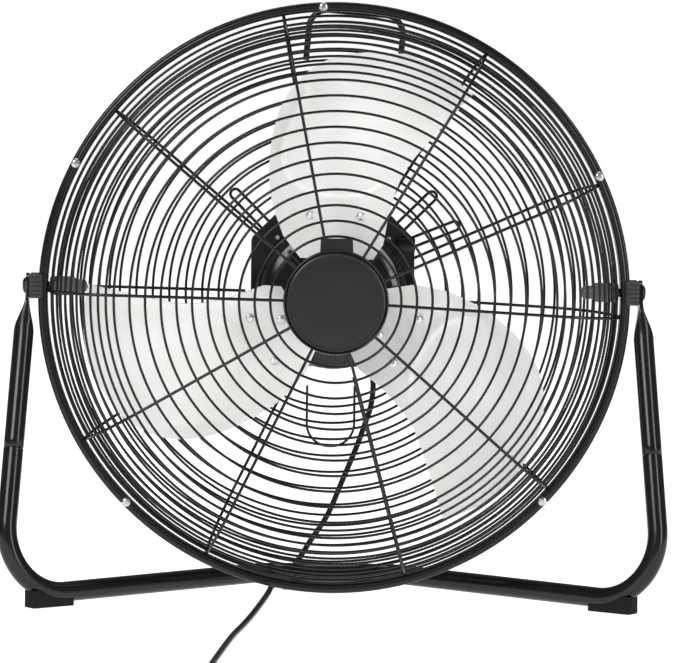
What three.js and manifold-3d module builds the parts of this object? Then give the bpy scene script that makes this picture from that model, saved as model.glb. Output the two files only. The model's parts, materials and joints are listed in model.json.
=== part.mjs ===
// A round high-velocity floor fan: a wire cage with a three-blade aluminium propeller, tilting
// on two bolts between the arms of a bent-tube floor stand, with its mains lead.
// Millimetres. +Z is up, the fan blows towards -Y, and +X is to the right seen from the front.

import * as THREE from 'three';
import { mergeVertices } from 'three/addons/utils/BufferGeometryUtils.js';
import { ConvexGeometry } from 'three/addons/geometries/ConvexGeometry.js';
import Module from 'manifold-3d';

const wasm = await Module();
wasm.setup();

// ---------------------------------------------------------------- driving dimensions

const GAP = 0.3; // between pieces that touch
const RUNNING_GAP = 0.5; // round a shaft, bolt or screw

// Cage. Its own group has the fan axis as its Y axis and the split of the rim at y = 0.
const RIM_RADIUS = 280;
const FLOOR_CLEARANCE = 10; // under the lowest point of the rim
const AXIS_HEIGHT = RIM_RADIUS + FLOOR_CLEARANCE;
const RIM_WIDTH = 9;
const RIM_DEPTH = 9; // of each of the two rim bands
const RING_WIRE = 2.4;
const SPOKE_WIRE = 3;
const SPOKE_ANGLES = [24, 59, 101, 140, 179, 210, 244, 285, 319, 357];
const HOOP_STRIDE = 2; // the solid cage has every second hoop of the real wire spacing
const FRONT = {
  side: -1, depth: 55, firstRing: 61.3, pitch: 14.6, flatRings: 11,
  shoulderRings: 10, shoulderStep: 7.1, shoulderEnd: 82, spokeStart: 56,
};
const REAR = {
  side: 1, depth: 88, firstRing: 110, pitch: 15.9, flatRings: 7,
  shoulderRings: 8, shoulderStep: 9.3, shoulderEnd: 84, spokeStart: 84,
};
const STAY = { angles: [45, 135, 225, 315], inner: 84, outer: 139, spread: 9.5 };
const RIM_SCREW = {
  angles: [25.6, 93, 153, 225, 316.5], headRadius: 4.4, headHeight: 2.4, shank: 2,
};
const BADGE = {
  radius: 46.5, depth: 5, bezelRadius: 49.5, bezelDepth: 4, clipWidth: 31, clipHeight: 11,
};
const HANDLE = { wire: 6, width: 91, foot: 222, top: 272, corner: 18, angle: -4.4 };
const HOOK = { wire: 2.4, width: 46, top: -90, bottom: -149 };
const CLIP = { x: 70, z: 48, width: 18, height: 14, depth: 12 };
const LOOP = { wire: 3, spread: 9, length: 46, rise: 22 };

// Propeller. The blade plane is pitched about each blade's own radial centre line.
const BLADE_ANGLES = [90, 210, 330];
const BLADE_SHEET = 1.5;
const BLADE_PITCH = 18;
const BLADE_CAMBER_RADIUS = 420;
const HUB_PLANE = -4;
const HUB = { radius: 15, front: 14, rear: 20 };
const SPIDER = { sheet: 2, discRadius: 36, armLength: 91, armRootWidth: 34, armTipWidth: 62 };
const SHAFT_RADIUS = 4;
const PROP_NUT = { radius: 8, height: 6 };

// Motor.
const MOTOR = { radius: 70, front: 24, split: 52, wall: 2.5, boss: 16 };
const BEARING = { radius: 11, length: 12 };
const STATOR = { radius: 62, bore: 34, front: 40.5, length: 29 };
const ROTOR_CORE_AIR_GAP = 0.6;
const PLATE = {
  halfWidth: MOTOR.radius + 9, halfHeight: MOTOR.radius + 4, rise: 3, chamfer: 24, hole: 9, sheet: 2,
};
const PLATE_SCREW = { circle: MOTOR.radius + 6, headRadius: 4, headHeight: 2.2, shank: 2 };
const PLATE_SCREW_ANGLES = [45, 135, 225, 315];
const SWITCH_BOX = { radius: 58, depth: 15, wall: 2.2 };
const KNOB = { radius: 17, height: 8, stem: 3, stemLength: 9, x: 0, z: 22 };
const SELECTOR = { width: 24, height: 22, depth: 8 };
const CAPACITOR = { width: 36, height: 18, depth: 9, z: -18 };
const RELIEF = { rootRadius: 5.6, tipRadius: 4, length: 25 };

// Tilt pivots.
const PIVOT_RISE = 9; // of the tilt bolts over the propeller's axis
const PIVOT_HEIGHT = AXIS_HEIGHT + PIVOT_RISE;
const BOLT_RADIUS = 4;
const BLOCK = { height: 23, depth: 30, inner: RIM_RADIUS - 4.8, outer: RIM_RADIUS + 8.2 };
const WASHER = { radius: 8, thickness: 1.6 };
const CAP = { radius: 8.8, noseRadius: 6.2, length: 33, bodyLength: 22 };

// Stand.
const TUBE_RADIUS = 9.5;
const STAND_BEND = 57;
const REAR_BEND = 40;
const ARM_PLATE = { thickness: 3, width: 24, x: BLOCK.outer + 1.8 };
const FRONT_CORNER = new THREE.Vector3(ARM_PLATE.x + 19, -80, 11.8);
const REAR_CORNER = new THREE.Vector3(62, 104, 15.9);
const SLIP_JOINT_HEIGHT = 148;
const SPIGOT = { length: 34, wall: 1.7 };
const FOOT = { fromCorner: 32, length: 46, width: 16, height: 17 };
const REAR_FOOT = { length: 18, width: 17, x: 35 };

// Mains lead.
const CORD_RADIUS = 2.8;
const CORD_FLOOR = 0.3; // its underside clears the floor by this
const COIL = { radius: 33.5, columns: 3, layers: 2, x: -82.4, y: -568 };
const PLUG = {
  radius: 10, length: 34, tail: 16, pinLength: 17, pinWidth: 6.3, pinThickness: 1.5, pinSpread: 12.7,
};

// ---------------------------------------------------------------- finishes

const finish = (color, roughness, metalness) =>
  new THREE.MeshStandardMaterial({ color, roughness, metalness });
const blackPaint = finish('#17171a', 0.3, 0.2);
const motorPaint = finish('#1b1714', 0.25, 0.2);
const aluminium = finish('#d9dad8', 0.35, 0.9);
const zinc = finish('#b9bbbd', 0.35, 0.9);
const greyPlastic = finish('#3b3b3d', 0.5, 0);
const gloss = finish('#202022', 0.2, 0);
const rubber = finish('#1d1d1e', 0.8, 0);
const copper = finish('#a4602f', 0.4, 0.8);
const steel = finish('#8d9093', 0.35, 0.9);
const cordVinyl = finish('#151516', 0.55, 0);

// ---------------------------------------------------------------- solids

const radians = THREE.MathUtils.degToRad;

function signedVolume(positions, index) {
  const [a, b, c] = [new THREE.Vector3(), new THREE.Vector3(), new THREE.Vector3()];
  let volume = 0;
  for (let i = 0; i < index.length; i += 3) {
    a.fromArray(positions, 3 * index[i]);
    b.fromArray(positions, 3 * index[i + 1]);
    c.fromArray(positions, 3 * index[i + 2]);
    volume += a.dot(b.cross(c));
  }
  return volume;
}

// A closed geometry with shared vertices, no flat triangles and its faces pointing out.
function closed(geometry) {
  const bare = geometry.clone();
  bare.deleteAttribute('normal');
  bare.deleteAttribute('uv');
  const merged = mergeVertices(bare, 1e-4);
  const positions = merged.getAttribute('position').array;
  const index = [];
  for (let i = 0; i < merged.index.count; i += 3) {
    const [a, b, c] = [merged.index.getX(i), merged.index.getX(i + 1), merged.index.getX(i + 2)];
    if (a !== b && b !== c && c !== a) index.push(a, b, c);
  }
  if (signedVolume(positions, index) < 0) index.reverse();
  merged.setIndex(index);
  return merged;
}

function toManifold(geometry) {
  const body = closed(geometry);
  return new wasm.Manifold(new wasm.Mesh({
    numProp: 3,
    vertProperties: new Float32Array(body.getAttribute('position').array),
    triVerts: new Uint32Array(body.index.array),
  }));
}

function toGeometry(manifold) {
  const mesh = manifold.getMesh();
  const geometry = new THREE.BufferGeometry();
  geometry.setAttribute('position', new THREE.BufferAttribute(mesh.vertProperties, 3));
  geometry.setIndex(new THREE.BufferAttribute(mesh.triVerts, 1));
  return geometry;
}

const joined = (...pieces) =>
  toGeometry(pieces.map(toManifold).reduce((whole, piece) => whole.add(piece)));
const cut = (piece, ...tools) =>
  toGeometry(tools.map(toManifold).reduce((rest, tool) => rest.subtract(tool), toManifold(piece)));

// A solid turned about the fan axis from a closed profile of [radius, y] pairs.
function turned(profile, segments) {
  const points = [...profile, profile[0]].map(([r, y]) => new THREE.Vector2(r, y));
  return closed(new THREE.LatheGeometry(points, segments));
}

// A round bar between two points.
function bar(from, to, radius, sides = 16, endRadius = radius) {
  const along = new THREE.Vector3().subVectors(to, from);
  const geometry = new THREE.CylinderGeometry(endRadius, radius, along.length(), sides);
  geometry.translate(0, along.length() / 2, 0);
  const turn = new THREE.Quaternion().setFromUnitVectors(
    new THREE.Vector3(0, 1, 0), along.clone().normalize());
  geometry.applyQuaternion(turn);
  return geometry.translate(from.x, from.y, from.z);
}

const vector = (x, y, z) => new THREE.Vector3(x, y, z);
const barX = (x0, x1, y, z, radius, sides) => bar(vector(x0, y, z), vector(x1, y, z), radius, sides);
const barY = (y0, y1, x, z, radius, sides) => bar(vector(x, y0, z), vector(x, y1, z), radius, sides);

function block(x0, x1, y0, y1, z0, z1) {
  return new THREE.BoxGeometry(x1 - x0, y1 - y0, z1 - z0)
    .translate((x0 + x1) / 2, (y0 + y1) / 2, (z0 + z1) / 2);
}

// A flat outline in the XZ plane given a thickness from y0 to y1.
function plate(shape, y0, y1, curveSegments = 8) {
  const geometry = new THREE.ExtrudeGeometry(shape, { depth: y1 - y0, bevelEnabled: false,
    curveSegments });
  return geometry.rotateX(Math.PI / 2).translate(0, y1, 0);
}

function roundShape(radius, sides) {
  const shape = new THREE.Shape();
  for (let i = 0; i < sides; i += 1) {
    const angle = (2 * Math.PI * i) / sides;
    const point = [radius * Math.cos(angle), radius * Math.sin(angle)];
    if (i === 0) shape.moveTo(...point);
    else shape.lineTo(...point);
  }
  return shape;
}

// Corner points with the corners rounded to the given radii, as a dense list of points.
function filleted(corners, radii, straightStep = 45, bendStep = 13) {
  const points = [corners[0].clone()];
  const straightTo = (end) => {
    const start = points[points.length - 1].clone();
    const pieces = Math.max(1, Math.round(start.distanceTo(end) / straightStep));
    for (let i = 1; i <= pieces; i += 1) points.push(start.clone().lerp(end, i / pieces));
  };
  for (let i = 1; i < corners.length - 1; i += 1) {
    const corner = corners[i];
    const back = corners[i - 1].clone().sub(corner).normalize();
    const ahead = corners[i + 1].clone().sub(corner).normalize();
    const halfAngle = back.angleTo(ahead) / 2;
    const reach = radii[i - 1] / Math.tan(halfAngle);
    const centre = corner.clone().addScaledVector(
      back.clone().add(ahead).normalize(), radii[i - 1] / Math.sin(halfAngle));
    const first = corner.clone().addScaledVector(back, reach);
    const last = corner.clone().addScaledVector(ahead, reach);
    straightTo(first);
    const from = first.clone().sub(centre);
    const sweep = from.angleTo(last.clone().sub(centre));
    const axis = from.clone().cross(last.clone().sub(centre)).normalize();
    const pieces = Math.max(2, Math.round((sweep * radii[i - 1]) / bendStep));
    for (let k = 1; k <= pieces; k += 1) {
      points.push(centre.clone().add(from.clone().applyAxisAngle(axis, (sweep * k) / pieces)));
    }
  }
  straightTo(corners[corners.length - 1]);
  return points;
}

// A rod of constant section swept along a list of points.
function swept(points, radius, sides, step) {
  const path = new THREE.CatmullRomCurve3(points, false, 'centripetal');
  const steps = Math.max(4, Math.round(path.getLength() / step));
  return closed(new THREE.ExtrudeGeometry(roundShape(radius, sides), {
    steps, bevelEnabled: false, extrudePath: path,
  }));
}

// ---------------------------------------------------------------- the assembly tree

const fan = new THREE.Group();
const stand = new THREE.Group();
const cage = new THREE.Group();
const lead = new THREE.Group();
cage.position.z = AXIS_HEIGHT;
fan.add(stand, cage, lead);

function add(group, name, geometry, material) {
  const mesh = new THREE.Mesh(geometry, material);
  mesh.name = name;
  group.add(mesh);
  return mesh;
}

// ---------------------------------------------------------------- cage wires

const RIM_INNER = RIM_RADIUS - RIM_WIDTH;
const SPOKE_OFFSET = (RING_WIRE + SPOKE_WIRE) / 2 - 0.45; // spokes sink into the hoops, as welded
const WELD_SETBACK = 4; // the last hoop's centre, in from the rim

// The cage surface: radius and y of the shoulder at an angle round its quarter ellipse.
// normalR and normalY point outwards, away from the inside of the cage.
function shoulder(grille, degrees) {
  const flat = grille.firstRing + grille.pitch * (grille.flatRings - 1);
  const end = radians(grille.shoulderEnd);
  const across = (RIM_INNER - WELD_SETBACK - flat) / Math.sin(end);
  const deep = (grille.depth - RIM_DEPTH - 1.4) / (1 - Math.cos(end));
  const angle = radians(degrees);
  const slope = new THREE.Vector2(deep * Math.sin(angle), across * Math.cos(angle)).normalize();
  return {
    r: flat + across * Math.sin(angle),
    y: grille.side * (grille.depth - deep * (1 - Math.cos(angle))),
    normalR: slope.x,
    normalY: slope.y * grille.side,
  };
}

// The hoops of the flat face, and those of the shoulder round it.
function faceStations(grille) {
  const stations = [];
  for (let k = 0; k < grille.flatRings; k += HOOP_STRIDE) {
    stations.push({ ...shoulder(grille, 0), r: grille.firstRing + grille.pitch * k });
  }
  return stations;
}

function sideStations(grille) {
  const stations = [];
  for (let k = HOOP_STRIDE; k <= grille.shoulderRings; k += HOOP_STRIDE) {
    stations.push(shoulder(grille, grille.shoulderStep * k));
  }
  stations.push(shoulder(grille, grille.shoulderEnd));
  return stations;
}

// A hoop of three-sided wire with its flat side towards the spokes.
function ringWire({ r, y, normalR, normalY }) {
  const half = RING_WIRE / 2;
  const segments = r < 150 ? 16 : 24;
  return turned([[r + half * (normalR - normalY), y + half * (normalY + normalR)],
    [r + half * (normalR + normalY), y + half * (normalY - normalR)],
    [r - half * normalR, y - half * normalY]], segments);
}

// A strip of spoke over the hoops, through stations of the cage surface.
function spokeStrip(stations, degrees) {
  const outer = [];
  const inner = [];
  for (const { r, y, normalR, normalY } of stations) {
    for (const [list, offset] of [[inner, SPOKE_OFFSET - SPOKE_WIRE / 2],
      [outer, SPOKE_OFFSET + SPOKE_WIRE / 2]]) {
      list.push(new THREE.Vector2(r + normalR * offset, y + normalY * offset));
    }
  }
  const outline = new THREE.Shape([...outer, ...inner.reverse()]);
  const strip = new THREE.ExtrudeGeometry(outline, { depth: SPOKE_WIRE, bevelEnabled: false });
  return closed(strip.translate(0, 0, -SPOKE_WIRE / 2).rotateY(-radians(degrees)));
}

// The spokes are in two lengths: over the flat face to its last hoop, then round the shoulder.
function faceSpoke(grille, degrees) {
  const end = shoulder(grille, 0);
  return spokeStrip([{ ...end, r: grille.spokeStart }, { ...end, r: end.r + RING_WIRE / 2 }], degrees);
}

function sideSpoke(grille, degrees) {
  const bends = 5;
  const first = 1.5 + 2 * GAP; // degrees round the shoulder that clear the last hoop of the face
  const stations = [];
  for (let k = 0; k <= bends; k += 1) {
    stations.push(shoulder(grille, first + ((grille.shoulderEnd - first) * k) / bends));
  }
  return spokeStrip(stations, degrees);
}

// Two parallel wires with a round end, tying the motor plate to the rear rings.
function stay(degrees) {
  const y = REAR.side * (REAR.depth + SPOKE_OFFSET);
  const half = STAY.spread / 2;
  const corners = [vector(STAY.inner, y, -half), vector(STAY.outer, y, -half),
    vector(STAY.outer, y, half), vector(STAY.inner, y, half)];
  const wire = swept(filleted(corners, [half - 0.2, half - 0.2], 60, 5), SPOKE_WIRE / 2, 4, 13);
  return closed(wire.rotateY(-radians(degrees)));
}

// Each guard is one welding on the real fan. Here its flat face and its shoulder are two solids.
function grilleFace(grille) {
  const wires = faceStations(grille).map(ringWire);
  for (const degrees of SPOKE_ANGLES) wires.push(faceSpoke(grille, degrees));
  if (grille === REAR) for (const degrees of STAY.angles) wires.push(stay(degrees));
  return joined(...wires);
}

function grilleSide(grille) {
  const wires = sideStations(grille).map(ringWire);
  for (const degrees of SPOKE_ANGLES) wires.push(sideSpoke(grille, degrees));
  return joined(...wires);
}

for (const [grille, name] of [[FRONT, 'front'], [REAR, 'rear']]) {
  add(cage, `${name}_grille_face`, grilleFace(grille), blackPaint);
  add(cage, `${name}_grille_side`, grilleSide(grille), blackPaint);
}

// ---------------------------------------------------------------- rim bands and their screws

const pivotZ = PIVOT_HEIGHT - AXIS_HEIGHT;
const pivotBore = barX(-RIM_RADIUS - 5, RIM_RADIUS + 5, 0, pivotZ, BOLT_RADIUS + RUNNING_GAP, 16);
const screwCircle = RIM_RADIUS - RIM_WIDTH / 2;

const onRim = (degrees, radius) => ({ x: radius * Math.cos(radians(degrees)),
  z: radius * Math.sin(radians(degrees)) });

function rimBand(near, far) {
  const band = turned([[RIM_INNER, near], [RIM_RADIUS, near], [RIM_RADIUS, far], [RIM_INNER, far]], 48);
  const holes = RIM_SCREW.angles.map((degrees) => {
    const { x, z } = onRim(degrees, screwCircle);
    return barY(near - 1, far + 1, x, z, RIM_SCREW.shank + RUNNING_GAP, 8);
  });
  return cut(band, pivotBore, ...holes);
}

add(cage, 'front_rim', rimBand(-RIM_DEPTH, -GAP / 2), blackPaint);
add(cage, 'rear_rim', rimBand(GAP / 2, RIM_DEPTH), blackPaint);

RIM_SCREW.angles.forEach((degrees, i) => {
  const { x, z } = onRim(degrees, screwCircle);
  const headBack = -RIM_DEPTH - GAP;
  const head = barY(headBack - RIM_SCREW.headHeight, headBack, x, z, RIM_SCREW.headRadius, 12);
  const shank = barY(headBack - 1, RIM_DEPTH + 3, x, z, RIM_SCREW.shank, 8);
  add(cage, `rim_screw_${i + 1}`, joined(head, shank), zinc);
});

// ---------------------------------------------------------------- badge, handle, hook and loop

const faceOut = -(FRONT.depth + SPOKE_OFFSET + SPOKE_WIRE / 2);
const bezelBack = faceOut - GAP;
const bezelFront = bezelBack - BADGE.bezelDepth;
const discSeat = bezelBack - 1.2;
const bezel = turned([[8, bezelBack], [BADGE.bezelRadius, bezelBack], [BADGE.bezelRadius, bezelFront],
  [BADGE.radius + GAP, bezelFront], [BADGE.radius + GAP, discSeat], [8, discSeat]], 28);
const clipTop = BADGE.bezelRadius + BADGE.clipHeight - 1;
add(cage, 'badge_bezel', joined(bezel,
  block(-BADGE.clipWidth / 2, BADGE.clipWidth / 2, bezelFront + 0.6, bezelBack, BADGE.bezelRadius - 3,
    clipTop)), gloss);
add(cage, 'badge_disc', turned([[0, discSeat - GAP], [BADGE.radius, discSeat - GAP],
  [BADGE.radius, discSeat - BADGE.depth + 1], [BADGE.radius - 2, discSeat - BADGE.depth],
    [0, discSeat - BADGE.depth]], 28), gloss);

const rearOut = REAR.depth + SPOKE_OFFSET + SPOKE_WIRE / 2;
const handleY = rearOut + GAP + HANDLE.wire / 2;
const handleHalf = HANDLE.width / 2;
const handleCorners = [vector(-handleHalf, handleY, HANDLE.foot),
  vector(-handleHalf, handleY, HANDLE.top),
  vector(handleHalf, handleY, HANDLE.top), vector(handleHalf, handleY, HANDLE.foot)];
add(cage, 'carry_handle', closed(swept(filleted(handleCorners, [HANDLE.corner, HANDLE.corner], 45, 10),
  HANDLE.wire / 2, 10, 11).rotateY(-radians(HANDLE.angle))), blackPaint);

const hookY = rearOut + GAP + HOOK.wire / 2;
const hookHalf = HOOK.width / 2;
const hookCorners = [vector(-hookHalf, hookY, HOOK.top), vector(-hookHalf, hookY, HOOK.bottom),
  vector(hookHalf, hookY, HOOK.bottom), vector(hookHalf, hookY, HOOK.top)];
add(cage, 'cord_hook', swept(filleted(hookCorners, [hookHalf - 1, hookHalf - 1], 45, 9), HOOK.wire / 2,
  6, 10), blackPaint);

const plateFront = REAR.depth + SPOKE_OFFSET - SPOKE_WIRE / 2 - GAP - PLATE.sheet;
const clipRear = plateFront - GAP;
const loopBar = (sideways) => {
  const along = vector(Math.cos(radians(LOOP.rise)), 0, Math.sin(radians(LOOP.rise)));
  const across = vector(-along.z, 0, along.x).multiplyScalar(sideways * LOOP.spread / 2);
  const start = vector(CLIP.x, clipRear - CLIP.depth / 2, CLIP.z).add(across);
  return [start.clone().addScaledVector(along, 4), start.addScaledVector(along,
    LOOP.length + CLIP.width / 2)];
};
const [loopA, loopB] = [loopBar(-1), loopBar(1)];
const loopWire = swept(filleted([loopA[0], loopA[1], loopB[1], loopB[0]],
  [LOOP.spread / 2 - 0.2, LOOP.spread / 2 - 0.2], 60, 4), LOOP.wire / 2, 6, 7);
add(cage, 'side_clip', joined(block(CLIP.x - CLIP.width / 2, CLIP.x + CLIP.width / 2,
  clipRear - CLIP.depth, clipRear,
  CLIP.z - CLIP.height / 2, CLIP.z + CLIP.height / 2), loopWire), blackPaint);

// ---------------------------------------------------------------- motor

const shaftBore = SHAFT_RADIUS + RUNNING_GAP;
const innerRadius = MOTOR.radius - MOTOR.wall;
const bearingSeat = BEARING.radius + GAP;
const motorRear = plateFront - GAP;
const frontBearingY = MOTOR.front + MOTOR.wall + GAP;
const rearBearingY = motorRear - MOTOR.wall - GAP - BEARING.length;

// A cup with an inner bearing collar, its closed face at "face" and its open edge at "edge".
function motorCover(face, edge, bearingFrom) {
  const inward = Math.sign(edge - face);
  const floor = face + inward * MOTOR.wall;
  const collar = bearingFrom + (inward > 0 ? BEARING.length : 0);
  return turned([[shaftBore + 1, face], [MOTOR.radius - 10, face], [MOTOR.radius, face + inward * 10],
    [MOTOR.radius, edge], [innerRadius, edge], [innerRadius, face + inward * 11],
      [MOTOR.radius - 11, floor],
    [MOTOR.boss, floor], [MOTOR.boss, collar], [bearingSeat, collar], [bearingSeat, floor],
      [shaftBore + 1, floor]], 28);
}

const clipRoom = block(CLIP.x - CLIP.width / 2 - GAP, CLIP.x + CLIP.width, clipRear - CLIP.depth - GAP,
  motorRear + 1,
  CLIP.z - CLIP.height / 2 - GAP, CLIP.z + CLIP.height);
add(cage, 'motor_front_cover', motorCover(MOTOR.front, MOTOR.split, frontBearingY), motorPaint);
add(cage, 'motor_rear_cover', cut(motorCover(motorRear, MOTOR.split + GAP, rearBearingY), clipRoom),
  motorPaint);

const bearing = (from) => turned([[shaftBore, from], [BEARING.radius, from],
  [BEARING.radius, from + BEARING.length], [shaftBore, from + BEARING.length]], 24);
add(cage, 'front_bearing', bearing(frontBearingY), copper);
add(cage, 'rear_bearing', bearing(rearBearingY), copper);

const statorRear = STATOR.front + STATOR.length;
const windingFront = STATOR.front - 6;
const windingRadius = STATOR.radius - 12;
add(cage, 'stator', turned([[STATOR.bore, STATOR.front], [STATOR.bore + 5, STATOR.front],
  [STATOR.bore + 5, windingFront],
  [windingRadius, windingFront], [windingRadius, STATOR.front], [STATOR.radius, STATOR.front],
  [STATOR.radius, statorRear], [STATOR.bore, statorRear]], 20), copper);

// Pressed plate that carries the motor on the rear wires: a rectangle with its corners cut off.
const plateRear = plateFront + PLATE.sheet;
const screwSpots = PLATE_SCREW_ANGLES.map((degrees) => onRim(degrees, PLATE_SCREW.circle));
const plateOutline = new THREE.Shape();
const { halfWidth, halfHeight, rise, chamfer } = PLATE;
for (const [x, z] of [[halfWidth, halfHeight - chamfer], [halfWidth - chamfer, halfHeight],
  [chamfer - halfWidth, halfHeight], [-halfWidth, halfHeight - chamfer],
  [-halfWidth, chamfer - halfHeight], [chamfer - halfWidth, -halfHeight],
  [halfWidth - chamfer, -halfHeight], [halfWidth, chamfer - halfHeight]]) {
  if (x === halfWidth && z > 0) plateOutline.moveTo(x, z + rise);
  else plateOutline.lineTo(x, z + rise);
}
add(cage, 'motor_plate', cut(plate(plateOutline, plateFront, plateRear),
  barY(plateFront - 1, plateRear + 1, 0, 0, PLATE.hole, 20), ...screwSpots.map(({ x, z }) =>
    barY(plateFront - 1, plateRear + 1, x, z, PLATE_SCREW.shank + RUNNING_GAP, 8))), blackPaint);
screwSpots.forEach(({ x, z }, i) => {
  const seat = plateRear + GAP;
  add(cage, `plate_screw_${i + 1}`, joined(
    barY(seat, seat + PLATE_SCREW.headHeight, x, z, PLATE_SCREW.headRadius, 10),
    barY(plateFront - 5, seat + 1, x, z, PLATE_SCREW.shank, 8)), zinc);
});

// Switch housing behind the plate, with the speed switch, capacitor and knob.
const boxFront = rearOut + GAP;
const boxRear = boxFront + SWITCH_BOX.depth;
const boxInner = SWITCH_BOX.radius - SWITCH_BOX.wall;
const boxShell = turned([[0, boxRear], [SWITCH_BOX.radius - 3, boxRear], [SWITCH_BOX.radius, boxRear - 3],
  [SWITCH_BOX.radius, boxFront], [boxInner, boxFront], [boxInner, boxRear - SWITCH_BOX.wall - 1],
  [boxInner - 1, boxRear - SWITCH_BOX.wall], [0, boxRear - SWITCH_BOX.wall]], 24);
const reliefWay = vector(0.2, 0.1, -0.97).normalize();
const reliefRoot = vector(33.6, boxFront + 6.2, -48.2);
const reliefTip = reliefRoot.clone().addScaledVector(reliefWay, RELIEF.length);
const knobBore = barY(boxRear - SWITCH_BOX.wall - 2, boxRear + 2, KNOB.x, KNOB.z,
  KNOB.stem + RUNNING_GAP, 16);
const reliefBore = bar(reliefRoot.clone().addScaledVector(reliefWay, -12), reliefTip, 4.4, 12);
add(cage, 'switch_housing', cut(boxShell, knobBore, reliefBore), greyPlastic);

const switchRear = boxRear - SWITCH_BOX.wall - 2 - GAP;
add(cage, 'speed_switch', cut(block(KNOB.x - SELECTOR.width / 2, KNOB.x + SELECTOR.width / 2,
  switchRear - SELECTOR.depth,
  switchRear, KNOB.z - SELECTOR.height / 2, KNOB.z + SELECTOR.height / 2),
barY(switchRear - SELECTOR.depth - 1, switchRear + 1, KNOB.x, KNOB.z, KNOB.stem + RUNNING_GAP, 16)),
  greyPlastic);
add(cage, 'capacitor', block(-CAPACITOR.width / 2, CAPACITOR.width / 2, boxFront + GAP,
  boxFront + GAP + CAPACITOR.depth,
  CAPACITOR.z - CAPACITOR.height / 2, CAPACITOR.z + CAPACITOR.height / 2), gloss);

const knobBack = boxRear + GAP;
const pointer = block(KNOB.x - 2.5, KNOB.x + 2.5, knobBack + 1, knobBack + KNOB.height + 3,
  KNOB.z - KNOB.radius + 1.5, KNOB.z + KNOB.radius - 1.5);
add(cage, 'speed_knob', joined(barY(knobBack, knobBack + KNOB.height, KNOB.x, KNOB.z, KNOB.radius, 24),
  pointer,
  barY(knobBack - KNOB.stemLength, knobBack + 1, KNOB.x, KNOB.z, KNOB.stem, 12)), gloss);

const reliefCollar = reliefRoot.clone().addScaledVector(reliefWay, 2.5);
add(cage, 'strain_relief', joined(
  bar(reliefRoot.clone().addScaledVector(reliefWay, -5), reliefCollar, 4, 12),
  bar(reliefCollar, reliefTip, RELIEF.rootRadius, 12, RELIEF.tipRadius)), rubber);

// ---------------------------------------------------------------- propeller

const propShaftFront = HUB_PLANE - HUB.front - PROP_NUT.height - 2;
add(cage, 'rotor_shaft', joined(
  barY(propShaftFront, rearBearingY + BEARING.length, 0, 0, SHAFT_RADIUS, 24),
  barY(STATOR.front, statorRear, 0, 0, STATOR.bore - ROTOR_CORE_AIR_GAP - 0.6, 20)), steel);

// Turns a piece built for a blade that points up: pitched about its own line, then round the axis.
function bladePlace(geometry, degrees) {
  return closed(geometry.clone().rotateZ(-radians(BLADE_PITCH)).translate(0, HUB_PLANE, 0)
    .rotateY(-radians(degrees - 90)));
}

// The outline of one blade in its own plane: x across and z out from the axis.
function bladeOutline() {
  const widen = 1 / Math.cos(radians(BLADE_PITCH));
  const at = (x, z) => new THREE.Vector2(x * widen, z);
  const outline = new THREE.Shape();
  outline.moveTo(-33 * widen, 38);
  outline.lineTo(-50 * widen, 59);
  outline.splineThru([at(-61.5, 92), at(-64, 131), at(-57, 171), at(-38, 205), at(-6, 227), at(28, 233),
    at(62, 232)]);
  outline.splineThru([at(94, 217), at(121, 195)]);
  outline.splineThru([at(90, 158), at(64, 124), at(51, 90), at(44, 52)]);
  outline.lineTo(35 * widen, 38);
  return outline;
}

// A curved sheet along Z, its crest on the blade's centre line and its edges bending backwards.
function camberSheet(front, back) {
  const half = 150;
  const strip = new THREE.Shape();
  const reach = Math.asin(half / BLADE_CAMBER_RADIUS);
  const centre = BLADE_CAMBER_RADIUS;
  strip.absarc(0, centre, BLADE_CAMBER_RADIUS - front, -Math.PI / 2 - reach, -Math.PI / 2 + reach, false);
  strip.absarc(0, centre, BLADE_CAMBER_RADIUS - back, -Math.PI / 2 + reach, -Math.PI / 2 - reach, true);
  return new THREE.ExtrudeGeometry(strip, { depth: 300, bevelEnabled: false, curveSegments: 9 });
}

function blade(degrees) {
  const prism = plate(bladeOutline(), -60, 80, 4);
  const sheet = toManifold(camberSheet(-BLADE_SHEET, 0));
  return bladePlace(toGeometry(toManifold(prism).intersect(sheet)), degrees);
}

const spiderFront = BLADE_SHEET + GAP;
const armOutline = new THREE.Shape();
armOutline.moveTo(-SPIDER.armRootWidth / 2, 0);
armOutline.lineTo(-SPIDER.armTipWidth / 2, SPIDER.armLength - 10);
armOutline.quadraticCurveTo(-SPIDER.armTipWidth / 2, SPIDER.armLength, -SPIDER.armTipWidth / 2 + 10,
  SPIDER.armLength);
armOutline.lineTo(SPIDER.armTipWidth / 2 - 10, SPIDER.armLength);
armOutline.quadraticCurveTo(SPIDER.armTipWidth / 2, SPIDER.armLength, SPIDER.armTipWidth / 2,
  SPIDER.armLength - 10);
armOutline.lineTo(SPIDER.armRootWidth / 2, 0);
const shaftHole = barY(HUB_PLANE - 60, HUB_PLANE + 60, 0, 0, SHAFT_RADIUS + GAP, 24);
const armPlate = plate(armOutline, spiderFront + 1, spiderFront + 1 + SPIDER.sheet, 3);
add(cage, 'hub_spider', cut(joined(
  barY(HUB_PLANE - HUB.front, HUB_PLANE + HUB.rear, 0, 0, HUB.radius, 24),
  barY(HUB_PLANE + spiderFront, HUB_PLANE + spiderFront + SPIDER.sheet, 0, 0, SPIDER.discRadius, 24),
  ...BLADE_ANGLES.map((degrees) => bladePlace(armPlate, degrees))), shaftHole), zinc);
BLADE_ANGLES.forEach((degrees, i) => add(cage, `blade_${i + 1}`, blade(degrees), aluminium));

const nutRear = HUB_PLANE - HUB.front - GAP;
add(cage, 'prop_nut', cut(barY(nutRear - PROP_NUT.height, nutRear, 0, 0, PROP_NUT.radius, 6), shaftHole),
  zinc);

// ---------------------------------------------------------------- tilt pivots

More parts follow.
